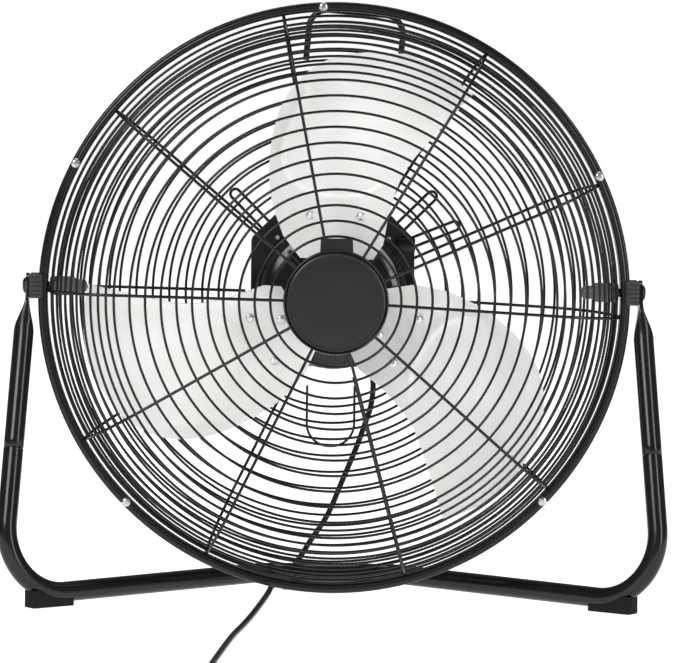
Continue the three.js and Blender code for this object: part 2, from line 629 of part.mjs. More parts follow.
const rimRoom = toManifold(turned([[RIM_INNER - GAP - 0.6, -RIM_DEPTH - GAP - 0.2],
  [RIM_RADIUS + GAP, -RIM_DEPTH - GAP - 0.2],
  [RIM_RADIUS + GAP, RIM_DEPTH + GAP + 0.2], [RIM_INNER - GAP - 0.6, RIM_DEPTH + GAP + 0.2]], 120));
const boltBore = (from, to) => barX(from, to, 0, pivotZ, BOLT_RADIUS + RUNNING_GAP, 16);

function pivotBlock(side) {
  const [x0, x1] = [side * BLOCK.inner, side * BLOCK.outer].sort((a, b) => a - b);
  const half = BLOCK.height / 2;
  const shell = block(x0, x1, -BLOCK.depth / 2, BLOCK.depth / 2, pivotZ - half, pivotZ + half);
  const body = toManifold(shell).subtract(rimRoom).subtract(toManifold(boltBore(x0 - 1, x1 + 1)));
  return toGeometry(body);
}

const armInner = ARM_PLATE.x - ARM_PLATE.thickness / 2;
const armOuter = ARM_PLATE.x + ARM_PLATE.thickness / 2;
const washerOuter = RIM_INNER - 2;
const capOuter = washerOuter - WASHER.thickness - GAP;

for (const [side, name] of [[-1, 'left'], [1, 'right']]) {
  add(cage, `pivot_block_${name}`, pivotBlock(side), greyPlastic);
  const z = PIVOT_HEIGHT;
  const head = barX(side * (armOuter + GAP), side * (armOuter + GAP + 3.2), 0, z, 7.5, 12);
  const shank = barX(side * (armOuter + 1), side * (capOuter - CAP.bodyLength + 6), 0, z, BOLT_RADIUS,
    12);
  add(stand, `pivot_bolt_${name}`, joined(head, shank), zinc);
  add(stand, `pivot_washer_${name}`, cut(
    barX(side * washerOuter, side * (washerOuter - WASHER.thickness), 0, z, WASHER.radius, 16),
    barX(side * (washerOuter + 1), side * (washerOuter - 3), 0, z, BOLT_RADIUS + GAP, 16)), zinc);
  const capProfile = [[BOLT_RADIUS + GAP, 0], [CAP.radius, 0], [CAP.radius, CAP.bodyLength - 1],
    [CAP.radius - 1.4, CAP.bodyLength],
    [CAP.noseRadius, CAP.length - 3], [CAP.noseRadius - 3, CAP.length], [0, CAP.length],
      [0, CAP.bodyLength - 5],
    [BOLT_RADIUS + GAP, CAP.bodyLength - 5]];
  const cap = turned(capProfile, 16).rotateZ(side * Math.PI / 2).translate(side * capOuter, 0, z);
  add(stand, `pivot_cap_${name}`, closed(cap), greyPlastic);
}

// ---------------------------------------------------------------- stand tubes

// A point on the arm's centre line at a height, on the left (-1) or right (+1).
function armLine(side, height) {
  const top = vector(side * ARM_PLATE.x, 0, PIVOT_HEIGHT);
  const bottom = vector(side * FRONT_CORNER.x, FRONT_CORNER.y, FRONT_CORNER.z);
  return top.lerp(bottom, (PIVOT_HEIGHT - height) / (PIVOT_HEIGHT - FRONT_CORNER.z));
}
const mirrored = (point, side) => vector(side * point.x, point.y, point.z);

const baseCorners = [armLine(-1, SLIP_JOINT_HEIGHT), mirrored(FRONT_CORNER, -1),
  mirrored(REAR_CORNER, -1),
  mirrored(REAR_CORNER, 1), mirrored(FRONT_CORNER, 1), armLine(1, SLIP_JOINT_HEIGHT)];
const basePath = filleted(baseCorners, [STAND_BEND, REAR_BEND, REAR_BEND, STAND_BEND], 45, 14);
const spigotRadius = TUBE_RADIUS - SPIGOT.wall;
const sockets = [-1, 1].map((side) => bar(armLine(side, SLIP_JOINT_HEIGHT - SPIGOT.length - 2),
  armLine(side, SLIP_JOINT_HEIGHT + 2), spigotRadius + GAP, 14));
add(stand, 'base_tube', cut(swept(basePath, TUBE_RADIUS, 10, 20), ...sockets), blackPaint);

// The arm's top end is pressed flat and drilled for the pivot bolt.
function armEnd(side) {
  const lean = vector(0, FRONT_CORNER.y, FRONT_CORNER.z - PIVOT_HEIGHT).normalize();
  const half = ARM_PLATE.width / 2;
  const across = vector(0, -lean.z, lean.y);
  const points = [];
  for (const x of [armInner, armOuter]) {
    for (let angle = 0; angle <= 180; angle += 22.5) {
      const [c, s] = [Math.cos(radians(angle)) * half, Math.sin(radians(angle)) * half];
      points.push(vector(side * x, 0, PIVOT_HEIGHT).addScaledVector(across, c).addScaledVector(lean, -s));
    }
    for (const w of [-half, half]) {
      points.push(vector(side * x, 0, PIVOT_HEIGHT).addScaledVector(across, w).addScaledVector(lean,
        half + 2));
    }
  }
  return new ConvexGeometry(points);
}

function armTaper(side) {
  const lean = vector(0, FRONT_CORNER.y, FRONT_CORNER.z - PIVOT_HEIGHT).normalize();
  const half = ARM_PLATE.width / 2;
  const across = vector(0, -lean.z, lean.y);
  const points = [];
  for (const x of [armInner, armOuter]) {
    for (const w of [-half, half]) {
      points.push(vector(side * x, 0, PIVOT_HEIGHT).addScaledVector(across, w).addScaledVector(lean,
        half));
    }
  }
  const [low, lower] = [armLine(side, PIVOT_HEIGHT - 44), armLine(side, PIVOT_HEIGHT - 46)];
  const ring = bar(lower, low, TUBE_RADIUS, 12).getAttribute('position');
  for (let i = 0; i < ring.count; i += 1) points.push(new THREE.Vector3().fromBufferAttribute(ring, i));
  return new ConvexGeometry(points);
}

for (const [side, name] of [[-1, 'left'], [1, 'right']]) {
  const tube = bar(armLine(side, SLIP_JOINT_HEIGHT + GAP), armLine(side, PIVOT_HEIGHT - 45), TUBE_RADIUS,
    12);
  const spigot = bar(armLine(side, SLIP_JOINT_HEIGHT - SPIGOT.length),
    armLine(side, SLIP_JOINT_HEIGHT + 6), spigotRadius, 12);
  const hole = barX(side * (armInner - 5), side * (armOuter + 5), 0, PIVOT_HEIGHT, BOLT_RADIUS + GAP, 16);
  const blockRoom = block(...[side * (armInner - 20), side * armInner].sort((a, b) => a - b), -30, 30,
    PIVOT_HEIGHT - 30, PIVOT_HEIGHT + 30);
  add(stand, `arm_${name}`, cut(joined(tube, spigot, armTaper(side), armEnd(side)), hole, blockRoom),
    blackPaint);
}

// ---------------------------------------------------------------- feet

// Front feet are rubber wedges that fill the gap under each front bend.
const tubeRoom = toManifold(swept(basePath, TUBE_RADIUS + RUNNING_GAP, 10, 20));

function frontFoot(side) {
  const from = mirrored(FRONT_CORNER, side).setZ(0);
  const way = mirrored(REAR_CORNER, side).setZ(0).sub(from).normalize();
  const across = vector(-way.y, way.x, 0).multiplyScalar(FOOT.width / 2);
  const corners = [];
  for (const along of [FOOT.fromCorner, FOOT.fromCorner + FOOT.length]) {
    for (const out of [-1, 1]) {
      for (const z of [0, FOOT.height]) {
        corners.push(from.clone().setZ(z).addScaledVector(way, along).addScaledVector(across, out));
      }
    }
  }
  return toGeometry(toManifold(new ConvexGeometry(corners)).subtract(tubeRoom));
}

// Rear feet are flat pads under the straight rear run.
function rearFoot(side) {
  const centre = mirrored(REAR_CORNER, side);
  const x = side * REAR_FOOT.x;
  const pad = block(x - REAR_FOOT.length / 2, x + REAR_FOOT.length / 2, centre.y - REAR_FOOT.width / 2,
    centre.y + REAR_FOOT.width / 2, 0, centre.z - 4);
  const bore = barX(-80, 80, centre.y, centre.z, TUBE_RADIUS + RUNNING_GAP, 24);
  return cut(pad, bore);
}

for (const [side, name] of [[-1, 'left'], [1, 'right']]) {
  add(stand, `front_foot_${name}`, frontFoot(side), rubber);
  add(stand, `rear_foot_${name}`, rearFoot(side), rubber);
}

// ---------------------------------------------------------------- mains lead

const cordZ = CORD_FLOOR + CORD_RADIUS;
// From the strain relief, down behind the cage to the floor behind the rear tube.
const exitPoint = reliefTip.clone().add(vector(0, 0, AXIS_HEIGHT));
const dropPoints = [exitPoint.clone().addScaledVector(reliefWay, GAP),
  exitPoint.clone().addScaledVector(reliefWay, 12),
  vector(41, 105, 191), vector(38.8, 108.5, 176), vector(34.3, 111.5, 162), vector(26.9, 115, 140),
    vector(13, 119, 105),
  vector(-1.3, 122.5, 70), vector(-17, 126.5, 45), vector(-28, 128.5, 27), vector(-38, 126.5, 13.5)];
const landing = vector(-46, 119.5, 5.6);
// Under the rear tube, forward across the floor and out to the coil.
const floorPoints = [[-51.5, 109.5], [-55, 95], [-58, 55], [-63, 0], [-69, -60], [-76, -125],
  [-84, -190], [-92, -250],
  [-98.5, -310], [-104, -365], [-109, -417], [-113.5, -465], [-117.5, -515], [-120.3, -541],
  [COIL.x - COIL.radius - 2 * CORD_RADIUS, COIL.y]].map(([x, y]) => vector(x, y, cordZ));

const wholeRun = new THREE.CatmullRomCurve3([...dropPoints, landing, ...floorPoints], false,
  'centripetal');
const runPoints = wholeRun.getSpacedPoints(70);
for (const point of runPoints) point.z = Math.max(point.z, cordZ);
const turnAt = runPoints.findIndex((point) => point.y < REAR_CORNER.y - TUBE_RADIUS - 4);
add(lead, 'cord_drop', swept(runPoints.slice(0, turnAt + 1), CORD_RADIUS, 8, 13), cordVinyl);
const floorRun = runPoints.slice(turnAt);
const joinWay = floorRun[1].clone().sub(floorRun[0]).normalize();
floorRun[0].addScaledVector(joinWay, 2 * GAP);
add(lead, 'cord_floor', swept(floorRun, CORD_RADIUS, 8, 15), cordVinyl);

// The rest is wound into a round coil: turns side by side, in two layers.
const coilReach = ((COIL.columns - 1) / 2) * 2 * CORD_RADIUS + CORD_RADIUS + 0.4;
const coilHeight = CORD_FLOOR + COIL.layers * 2 * CORD_RADIUS + 0.4;
const coil = turned([[COIL.radius - coilReach, CORD_FLOOR], [COIL.radius + coilReach, CORD_FLOOR],
  [COIL.radius + coilReach, coilHeight], [COIL.radius - coilReach, coilHeight]], 32).rotateX(Math.PI / 2);
const coilMesh = closed(coil.translate(COIL.x, COIL.y, 0));
// Rooms in the coil for the run that comes in and for the tail that goes out to the plug.
const roomRadius = CORD_RADIUS + 2 * GAP;
const entry = floorPoints[floorPoints.length - 1];
const entryRoom = bar(vector(floorPoints[floorPoints.length - 2].x + 2 * GAP, COIL.y + 2 * COIL.radius,
  cordZ),
  entry.clone().add(vector(0, -GAP, 0)), roomRadius, 10);
const tailZ = CORD_FLOOR + 3 * CORD_RADIUS;
const tailY = COIL.y - COIL.radius;
const tailStart = COIL.x + Math.sqrt((COIL.radius + coilReach) ** 2 - (COIL.radius + roomRadius) ** 2) - 1;
const tailRoom = barX(tailStart, tailStart + COIL.radius, tailY, tailZ, roomRadius, 10);

const tieWidth = 9;
const tieX = COIL.x + COIL.radius;
const tieReach = coilReach + 3 * GAP;
const tieBox = (grow) => block(tieX - tieReach - grow, tieX + tieReach + grow, COIL.y - tieWidth / 2,
  COIL.y + tieWidth / 2,
  CORD_FLOOR + (grow > 0 ? -CORD_FLOOR : 0.9), coilHeight + GAP + grow);
add(lead, 'cord_coil', cut(coilMesh, entryRoom, tailRoom,
  block(tieX - tieReach - 2, tieX + tieReach + 2, COIL.y - tieWidth / 2 - GAP,
    COIL.y + tieWidth / 2 + GAP, -1, 1.2 + GAP)), cordVinyl);
add(lead, 'cord_tie', cut(tieBox(1), block(tieX - tieReach, tieX + tieReach, COIL.y - tieWidth,
  COIL.y + tieWidth,
  0.9, coilHeight + GAP)), rubber);

const plugX = tailStart + PLUG.tail;
const plugZ = PLUG.radius * 0.8 + 0.2;
const plugEnd = plugX + PLUG.length;
add(lead, 'cord_tail', bar(vector(tailStart + GAP, tailY, tailZ), vector(plugX - GAP, tailY, plugZ),
  CORD_RADIUS, 10), cordVinyl);
const plugBody = bar(vector(plugX, tailY, plugZ), vector(plugEnd, tailY, plugZ), PLUG.radius * 0.62, 14,
  PLUG.radius);
const plugPin = (offset) => block(plugEnd - 2, plugEnd + PLUG.pinLength,
  tailY + offset - PLUG.pinThickness / 2,
  tailY + offset + PLUG.pinThickness / 2, plugZ - PLUG.pinWidth / 2, plugZ + PLUG.pinWidth / 2);
const plugFloor = block(-400, 400, -900, -300, 0, 40);
add(lead, 'plug', toGeometry(toManifold(joined(plugBody, plugPin(-PLUG.pinSpread / 2),
  plugPin(PLUG.pinSpread / 2)))
  .intersect(toManifold(plugFloor))), cordVinyl);

// ---------------------------------------------------------------- stand the fan over its origin

fan.updateMatrixWorld(true);
const extent = new THREE.Box3().expandByObject(stand).expandByObject(cage);
fan.position.y = -(extent.min.y + extent.max.y) / 2;
fan.updateMatrixWorld(true);

export default fan;
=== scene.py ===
"""Looks of a round high-velocity floor fan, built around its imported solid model.

Each sub-assembly of the fan is a class that holds its own sizes in millimetres. A piece is modelled in
the frame of the cage (the fan's axis is Y, the split of the rim is at y = 0) or in the frame of the stand
(the floor is at z = 0), and a placing matrix takes it to metres in the frame of the solid model.
"""

from __future__ import annotations

import json
import logging
import math
from dataclasses import dataclass, field, replace
from enum import Enum
from typing import Callable, Iterable, Sequence

import bmesh
import bpy
from mathutils import Matrix, Vector

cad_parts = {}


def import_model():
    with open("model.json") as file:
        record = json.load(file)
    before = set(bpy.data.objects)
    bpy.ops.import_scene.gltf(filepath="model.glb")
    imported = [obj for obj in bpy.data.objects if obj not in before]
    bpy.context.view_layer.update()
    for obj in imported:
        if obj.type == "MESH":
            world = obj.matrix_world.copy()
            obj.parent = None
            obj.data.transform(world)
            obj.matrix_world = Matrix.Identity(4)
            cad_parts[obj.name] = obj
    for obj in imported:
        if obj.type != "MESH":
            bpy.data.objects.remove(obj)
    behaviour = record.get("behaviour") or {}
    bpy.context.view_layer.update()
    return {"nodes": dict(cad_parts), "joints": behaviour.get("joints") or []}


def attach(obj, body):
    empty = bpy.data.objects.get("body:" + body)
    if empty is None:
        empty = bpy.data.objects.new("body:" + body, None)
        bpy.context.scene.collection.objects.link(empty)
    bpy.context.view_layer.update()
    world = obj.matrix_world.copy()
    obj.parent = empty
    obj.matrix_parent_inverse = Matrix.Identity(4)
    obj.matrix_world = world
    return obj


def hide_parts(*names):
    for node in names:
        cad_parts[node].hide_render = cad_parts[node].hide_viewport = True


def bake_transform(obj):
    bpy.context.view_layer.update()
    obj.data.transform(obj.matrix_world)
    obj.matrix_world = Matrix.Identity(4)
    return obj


LOG = logging.getLogger("floor_fan")
MM = 0.001
GAP = 0.3  # millimetres between pieces that touch

BMesh = bmesh.types.BMesh
Point = Sequence[float]


# ---------------------------------------------------------------- finishes


def linear(colour: str) -> tuple[float, float, float, float]:
    """Turns an sRGB hex value into a linear colour.

    Args:
        colour: six hex digits after a hash sign.

    Returns:
        Red, green, blue and an alpha of 1.
    """
    levels = [int(colour[i : i + 2], 16) / 255 for i in (1, 3, 5)]
    curve = [v / 12.92 if v <= 0.04045 else ((v + 0.055) / 1.055) ** 2.4 for v in levels]
    return (*curve, 1.0)


def add_node(
    tree: bpy.types.NodeTree,
    kind: str,
    values: dict | None = None,
    links: dict | None = None,
    **settings: object,
) -> bpy.types.Node:
    """Adds one node with its settings, its own values and its links.

    Args:
        tree: the node tree that it joins.
        kind: the node's type name.
        values: socket name or number to its unlinked value.
        links: socket name or number to the output that feeds it.
        **settings: attributes of the node itself.

    Returns:
        The new node.
    """
    made = tree.nodes.new(kind)
    for name, value in settings.items():
        setattr(made, name, value)
    for socket, value in (values or {}).items():
        made.inputs[socket].default_value = value
    for socket, source in (links or {}).items():
        tree.links.new(source, made.inputs[socket])
    return made


@dataclass(frozen=True)
class Finish:
    """One real finish, as a base material with a fine grain and a broad unevenness.

    Args:
        name: what a maker calls it.
        slot: the record's material slot; not used.
        colour: its main colour.
        second: the colour that the broad unevenness leads to.
        roughness: the middle roughness.
        spread: how far the roughness wanders each way.
        metallic: 1 for bare metal.
        grain: size of the fine grain in millimetres, across each axis.
        relief: height of the grain in millimetres.
        cloud: size of the broad unevenness in millimetres.
        coat: weight of a clear gloss layer.
        ior: index of refraction of a finish that isn't bare metal.
        turn: turn of the grain about the fan's axis, in radians.
    """

    name: str
    slot: str
    colour: str
    second: str
    roughness: float
    spread: float = 0.05
    metallic: float = 0.0
    grain: tuple[float, float, float] = (0.8, 0.8, 0.8)
    relief: float = 0.02
    cloud: float = 40.0
    coat: float = 0.0
    ior: float = 1.5
    turn: float = 0.0

    def turned(self, radians: float) -> "Finish":
        """The same finish with its grain turned about the fan's axis."""
        return replace(self, name=f"{self.name}_{round(math.degrees(radians))}", turn=radians)

    def material(self) -> bpy.types.Material:
        """Builds the finish once and returns it from then on."""
        found = bpy.data.materials.get(self.name)
        if found:
            return found
        made = bpy.data.materials.new(self.name)
        made.use_nodes = True
        tree = made.node_tree
        shader = tree.nodes["Principled BSDF"]
        shader.inputs["Metallic"].default_value = self.metallic
        if self.metallic < 0.5:
            shader.inputs["IOR"].default_value = self.ior
        if self.coat:
            shader.inputs["Coat Weight"].default_value = self.coat
            shader.inputs["Coat Roughness"].default_value = 0.06
        place = add_node(tree, "ShaderNodeTexCoord").outputs["Object"]
        scale = tuple(1 / (size * MM) for size in self.grain)
        turned_place = add_node(
            tree, "ShaderNodeMapping", {"Rotation": (0, self.turn, 0)}, {"Vector": place}
        ).outputs["Vector"]
        sized = add_node(
            tree, "ShaderNodeMapping", {"Scale": scale}, {"Vector": turned_place}
        ).outputs["Vector"]
        grain = add_node(
            tree, "ShaderNodeTexNoise", {"Scale": 1.0, "Detail": 3.0}, {"Vector": sized}
        ).outputs["Fac"]
        cloud = add_node(
            tree, "ShaderNodeTexNoise", {"Scale": 1 / (self.cloud * MM), "Detail": 4.0},
            {"Vector": place}
        ).outputs["Fac"]
        colour = add_node(
            tree,
            "ShaderNodeMix",
            {6: linear(self.colour), 7: linear(self.second)},
            {0: self._stretched(tree, cloud, 0.35, 0.7, 0.0, 1.0)},
            data_type="RGBA",
        ).outputs[2]
        tree.links.new(colour, shader.inputs["Base Color"])
        mixed = add_node(
            tree, "ShaderNodeMath", {}, {0: cloud, 1: grain}, operation="ADD"
        ).outputs[0]
        rough = self._stretched(
            tree, mixed, 0.6, 1.4, self.roughness - self.spread, self.roughness + self.spread
        )
        tree.links.new(rough, shader.inputs["Roughness"])
        bump = add_node(
            tree,
            "ShaderNodeBump",
            {"Strength": 1.0, "Distance": self.relief * MM},
            {"Height": grain},
        ).outputs["Normal"]
        tree.links.new(bump, shader.inputs["Normal"])
        return made

    @staticmethod
    def _stretched(
        tree: bpy.types.NodeTree,
        source: bpy.types.NodeSocket,
        low: float,
        high: float,
        to_low: float,
        to_high: float,
    ) -> bpy.types.NodeSocket:
        """Stretches part of a noise's range over another range.

        Args:
            tree: the node tree.
            source: the noise.
            low: value of the noise that becomes to_low.
            high: value of the noise that becomes to_high.
            to_low: lowest result.
            to_high: highest result.

        Returns:
            The stretched value's socket.
        """
        return add_node(
            tree,
            "ShaderNodeMapRange",
            {"From Min": low, "From Max": high, "To Min": to_low, "To Max": to_high},
            {"Value": source},
        ).outputs["Result"]


# Polyester powder coat, gloss black, baked: a soft orange peel breaks long highlights.
POWDER_COAT = Finish(
    "gloss_black_powder_coat", "black_powder_coat", "#0E0E10", "#151414", 0.2,
    spread=0.04, grain=(2.4, 2.4, 2.4), relief=0.02, cloud=70.0, ior=1.4,
)
# Brown-black stoving enamel on the motor shells: glossier, with a warm cast.
MOTOR_ENAMEL = Finish(
    "stoved_motor_enamel", "motor_enamel", "#100D0B", "#1E1611", 0.17,
    spread=0.04, grain=(3.0, 3.0, 3.0), relief=0.02, cloud=45.0,
)
# Rolled aluminium sheet, mill finish: fine lines along the rolling way and a satin sheen.
ROLLED_ALUMINIUM = Finish(
    "rolled_aluminium_sheet", "aluminium_sheet", "#F0F0EE", "#E6E6E3", 0.42,
    spread=0.06, metallic=0.25, grain=(0.9, 3.0, 22.0), relief=0.012, cloud=60.0,
)
# Bright zinc plating on steel fasteners: grey-white with faint blue mottling.
ZINC_PLATE = Finish(
    "bright_zinc_plate", "zinc_plate", "#C9CCD0", "#B4B9C0", 0.24,
    spread=0.08, metallic=1.0, grain=(0.5, 0.5, 0.5), relief=0.008, cloud=5.0,
)
# Glass-filled nylon mouldings: dark grey, with a fine spark-eroded grain.
GREY_NYLON = Finish(
    "moulded_grey_nylon", "grey_plastic", "#2E2E30", "#38383A", 0.46,
    spread=0.06, grain=(0.35, 0.35, 0.35), relief=0.03, cloud=12.0, ior=1.4,
)
# ABS mouldings, charcoal, polished tool: satin face with sharp reflections at its edges.
CHARCOAL_ABS = Finish(
    "charcoal_abs", "gloss_plastic", "#111112", "#151516", 0.2,
    spread=0.03, grain=(0.6, 0.6, 0.6), relief=0.004, cloud=50.0, ior=1.45,
)
# Synthetic rubber: matt, slightly dusty.
BLACK_RUBBER = Finish(
    "moulded_black_rubber", "black_rubber", "#121212", "#191918", 0.66,
    spread=0.08, grain=(0.7, 0.7, 0.7), relief=0.05, cloud=15.0, ior=1.22,
)
# Enamelled copper windings and sintered bronze: warm, dull metal.
COPPER_BRONZE = Finish(
    "enamelled_copper", "copper_bronze", "#A5602C", "#8C4A1E", 0.38,
    spread=0.08, metallic=1.0, grain=(0.9, 6.0, 0.9), relief=0.1, cloud=14.0,
)
# Ground shaft steel: bright, with fine grinding rings across its length.
GROUND_STEEL = Finish(
    "ground_steel", "bright_steel", "#9EA1A4", "#8C8F93", 0.26,
    spread=0.06, metallic=1.0, grain=(4.0, 0.25, 4.0), relief=0.01, cloud=20.0,
)
# Flexible PVC sheath: semi-matt black with slight waviness.
CORD_VINYL = Finish(
    "black_pvc_sheath", "cord_vinyl", "#0E0E0F", "#141415", 0.42,
    spread=0.06, grain=(1.2, 1.2, 1.2), relief=0.03, cloud=18.0, ior=1.35,
)
# Nickel-plated brass plug blades.
NICKEL = Finish(
    "nickel_plate", "bright_steel", "#BDB7A8", "#ABA592", 0.22,
    spread=0.05, metallic=1.0, grain=(0.4, 0.4, 0.4), relief=0.006, cloud=6.0,
)
# Satin lacquer on the badge's face, a shade lighter than its bezel.
BADGE_LACQUER = Finish(
    "satin_badge_lacquer", "gloss_plastic", "#161617", "#19191A", 0.34,
    spread=0.03, grain=(0.5, 0.5, 0.5), relief=0.004, cloud=60.0, ior=1.4,
)
# Upset aluminium rivet heads: brighter than the sheet, with hammer flats too small to see.
RIVET_ALUMINIUM = Finish(
    "upset_aluminium_rivet", "aluminium_sheet", "#F0F0EE", "#DCDCDA", 0.3,
    spread=0.06, metallic=0.7, grain=(0.7, 0.7, 0.7), relief=0.02, cloud=6.0,
)
# Black chromated zinc on the tilt bolts: dark, with a soft metal sheen.
BLACK_ZINC = Finish(
    "black_chromated_zinc", "zinc_plate", "#1B1B1D", "#222224", 0.36,
    spread=0.06, metallic=0.6, grain=(0.5, 0.5, 0.5), relief=0.008, cloud=6.0,
)
# Lighter grey nylon of the two cap nuts inside the rim.
CAP_NYLON = Finish(
    "cap_nut_nylon", "grey_plastic", "#4C4C4F", "#5A5A5D", 0.42,
    spread=0.06, grain=(0.35, 0.35, 0.35), relief=0.02, cloud=10.0,
)



# ---------------------------------------------------------------- placing


@dataclass(frozen=True)
class Datum:
    """Where the cage and the stand lie in the solid model, in metres.

    Args:
        split_y: y of the split of the rim, and of the origin line of the stand's own frame.
        axis_z: height of the propeller's axis.
        pivot_z: height of the tilt bolts.
    """

    split_y: float
    axis_z: float
    pivot_z: float

    @classmethod
    def of(cls, joints: Iterable[dict]) -> "Datum":
        """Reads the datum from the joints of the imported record.

        Args:
            joints: the record's joints.

        Returns:
            The datum.
        """
        places = {joint["name"]: joint["pos_m"] for joint in joints}
        return cls(places["head_tilt"][1], places["rotor_spin"][2], places["head_tilt"][2])

    @property
    def cage(self) -> Matrix:
        """Takes millimetres in the cage's frame to metres in the model's."""
        return Matrix.Translation((0, self.split_y, self.axis_z)) @ Matrix.Scale(MM, 4)

    @property
    def stand(self) -> Matrix:
        """Takes millimetres in the stand's frame to metres in the model's."""
        return Matrix.Translation((0, self.split_y, 0)) @ Matrix.Scale(MM, 4)

    @property
    def pivot_rise(self) -> float:
        """Height of the tilt bolts over the propeller's axis, in millimetres."""
        return (self.pivot_z - self.axis_z) / MM


class Body(Enum):
    """The bodies that pieces ride on."""

    STAND = "stand"
    HEAD = "head"
    ROTOR = "rotor"
    KNOB = "speed_knob"


# ---------------------------------------------------------------- mesh work


def tidied(bm: BMesh) -> BMesh:
    """Merges doubled vertices, drops loose edges and points the faces outwards.

    Args:
        bm: Mesh to work on.

    Returns:
        The same mesh.
    """
    bmesh.ops.remove_doubles(bm, verts=bm.verts[:], dist=1e-4)
    loose = [edge for edge in bm.edges if not edge.link_faces]
    bmesh.ops.delete(bm, geom=loose, context="EDGES")
    bmesh.ops.recalc_face_normals(bm, faces=bm.faces[:])
    return bm


def outlined(corners: Iterable[Point], rounding: float = 0.0, facets: int = 3) -> BMesh:
    """Makes a closed outline in the XY plane and rounds its corners.

    Args:
        corners: x and y of each corner.
        rounding: distance that each corner is cut back by; corners on the Y axis stay sharp.
        facets: edges in each rounded corner.

    Returns:
        A bmesh with one face.
    """
    bm = bmesh.new()
    bm.faces.new([bm.verts.new((x, y, 0)) for x, y in corners])
    if rounding:
        away = [vert for vert in bm.verts if abs(vert.co.x) > 1e-6]
        bmesh.ops.bevel(
            bm, geom=away, offset=rounding, offset_type="OFFSET", segments=facets, profile=0.5,
            affect="VERTICES", clamp_overlap=True, material=-1,
        )
    return bm


def turned(
    corners: Iterable[Point], segments: int = 64, rounding: float = 0.0, facets: int = 3
) -> BMesh:
    """Turns a closed outline of radius and y round the Y axis.

    Args:
        corners: radius and y of each corner of the outline.
        segments: steps of the full turn.
        rounding: how far corners off the axis are rounded.
        facets: edges in each rounded corner.

    Returns:
        The closed solid.
    """
    bm = outlined(corners, rounding, facets)
    bmesh.ops.delete(bm, geom=bm.faces[:], context="FACES_ONLY")
    bmesh.ops.spin(
        bm, geom=bm.verts[:] + bm.edges[:], cent=(0, 0, 0), axis=(0, 1, 0), angle=2 * math.pi,
        steps=segments, use_merge=True,
    )
    return tidied(bm)


def hoop(radius: float, y: float, wire: float, segments: int, sides: int = 8) -> BMesh:
    """A closed wire ring about the Y axis.

    Args:
        radius: radius of the wire's centre line.
        y: where the ring lies along the axis.
        wire: diameter of the wire.
        segments: steps round the ring.
        sides: sides of the wire's section.

    Returns:
        The ring.
    """
    bm = bmesh.new()
    made = bmesh.ops.create_circle(bm, segments=sides, radius=wire / 2)
    bmesh.ops.translate(bm, verts=made["verts"], vec=(radius, y, 0))
    bmesh.ops.spin(
        bm, geom=bm.verts[:] + bm.edges[:], cent=(0, 0, 0), axis=(0, 1, 0), angle=2 * math.pi,
        steps=segments, use_merge=True,
    )
    return tidied(bm)


def extruded(bm: BMesh, depth: float, way: Point = (0, 0, 1)) -> BMesh:
    """Gives a flat face a thickness.

    Args:
        bm: a bmesh with one face.
        depth: how far the copy of the face moves.
        way: the direction, a unit vector.

    Returns:
        The same bmesh, closed.
    """
    made = bmesh.ops.extrude_face_region(bm, geom=bm.faces[:])["geom"]
    moved = [part for part in made if isinstance(part, bmesh.types.BMVert)]
    bmesh.ops.translate(bm, verts=moved, vec=Vector(way) * depth)
    bmesh.ops.recalc_face_normals(bm, faces=bm.faces[:])
    return bm


def swept(
    path: Sequence[Vector], radius: float, sides: int = 12,
    widths: Callable[[float], float] | None = None
) -> BMesh:
    """Draws a round section along a path and caps both ends.

    Args:
        path: the points of the centre line.
        radius: radius of the section.
        sides: sides of the section.
        widths: share of the radius at a share of the path's length, or None for a plain rod.

    Returns:
        The closed rod.
    """
    bm = bmesh.new()
    ring = bmesh.ops.create_circle(bm, segments=sides, radius=radius)["verts"]
    headings = [(b - a).normalized() for a, b in zip(path, path[1:])]
    heading = headings[0]
    start = Vector((0, 0, 1)).rotation_difference(heading).to_matrix()
    bmesh.ops.rotate(bm, verts=ring, cent=(0, 0, 0), matrix=start)
    bmesh.ops.translate(bm, verts=ring, vec=path[0])
    edges = bm.edges[:]
    bmesh.ops.contextual_create(bm, geom=edges)
    size = widths(0.0) if widths else 1.0
    if widths:
        bmesh.ops.scale(bm, vec=(size, size, size), verts=ring, space=Matrix.Translation(-path[0]))
    for i in range(1, len(path)):
        made = bmesh.ops.extrude_edge_only(bm, edges=edges)["geom"]
        verts = [part for part in made if isinstance(part, bmesh.types.BMVert)]
        edges = [part for part in made if isinstance(part, bmesh.types.BMEdge)]
        bmesh.ops.translate(bm, verts=verts, vec=path[i] - path[i - 1])
        ahead = headings[i] if i < len(headings) else headings[-1]
        onward = (headings[i - 1] + ahead).normalized()
        turn = heading.rotation_difference(onward).to_matrix()
        bmesh.ops.rotate(bm, verts=verts, cent=path[i], matrix=turn)
        heading = onward
        if widths:
            next_size = widths(i / (len(path) - 1))
            share = next_size / size
            bmesh.ops.scale(bm, vec=(share,) * 3, verts=verts, space=Matrix.Translation(-path[i]))
            size = next_size
    bmesh.ops.contextual_create(bm, geom=edges)
    bmesh.ops.recalc_face_normals(bm, faces=bm.faces[:])
    return bm


def lofted(rings: Sequence[Sequence[Vector]]) -> BMesh:
    """Joins rings of equal count into one skin and caps its ends.

    Args:
        rings: the points of each ring, in order round it.

    Returns:
        The closed solid.
    """
    bm = bmesh.new()
    previous: list = []
    for points in rings:
        verts = [bm.verts.new(point) for point in points]
        edges = [bm.edges.new((a, b)) for a, b in zip(verts, verts[1:] + verts[:1])]
        if previous:
            bmesh.ops.bridge_loops(bm, edges=previous + edges)
        else:
            bmesh.ops.contextual_create(bm, geom=edges)
        previous = edges
    bmesh.ops.contextual_create(bm, geom=previous)
    bmesh.ops.recalc_face_normals(bm, faces=bm.faces[:])
    return bm


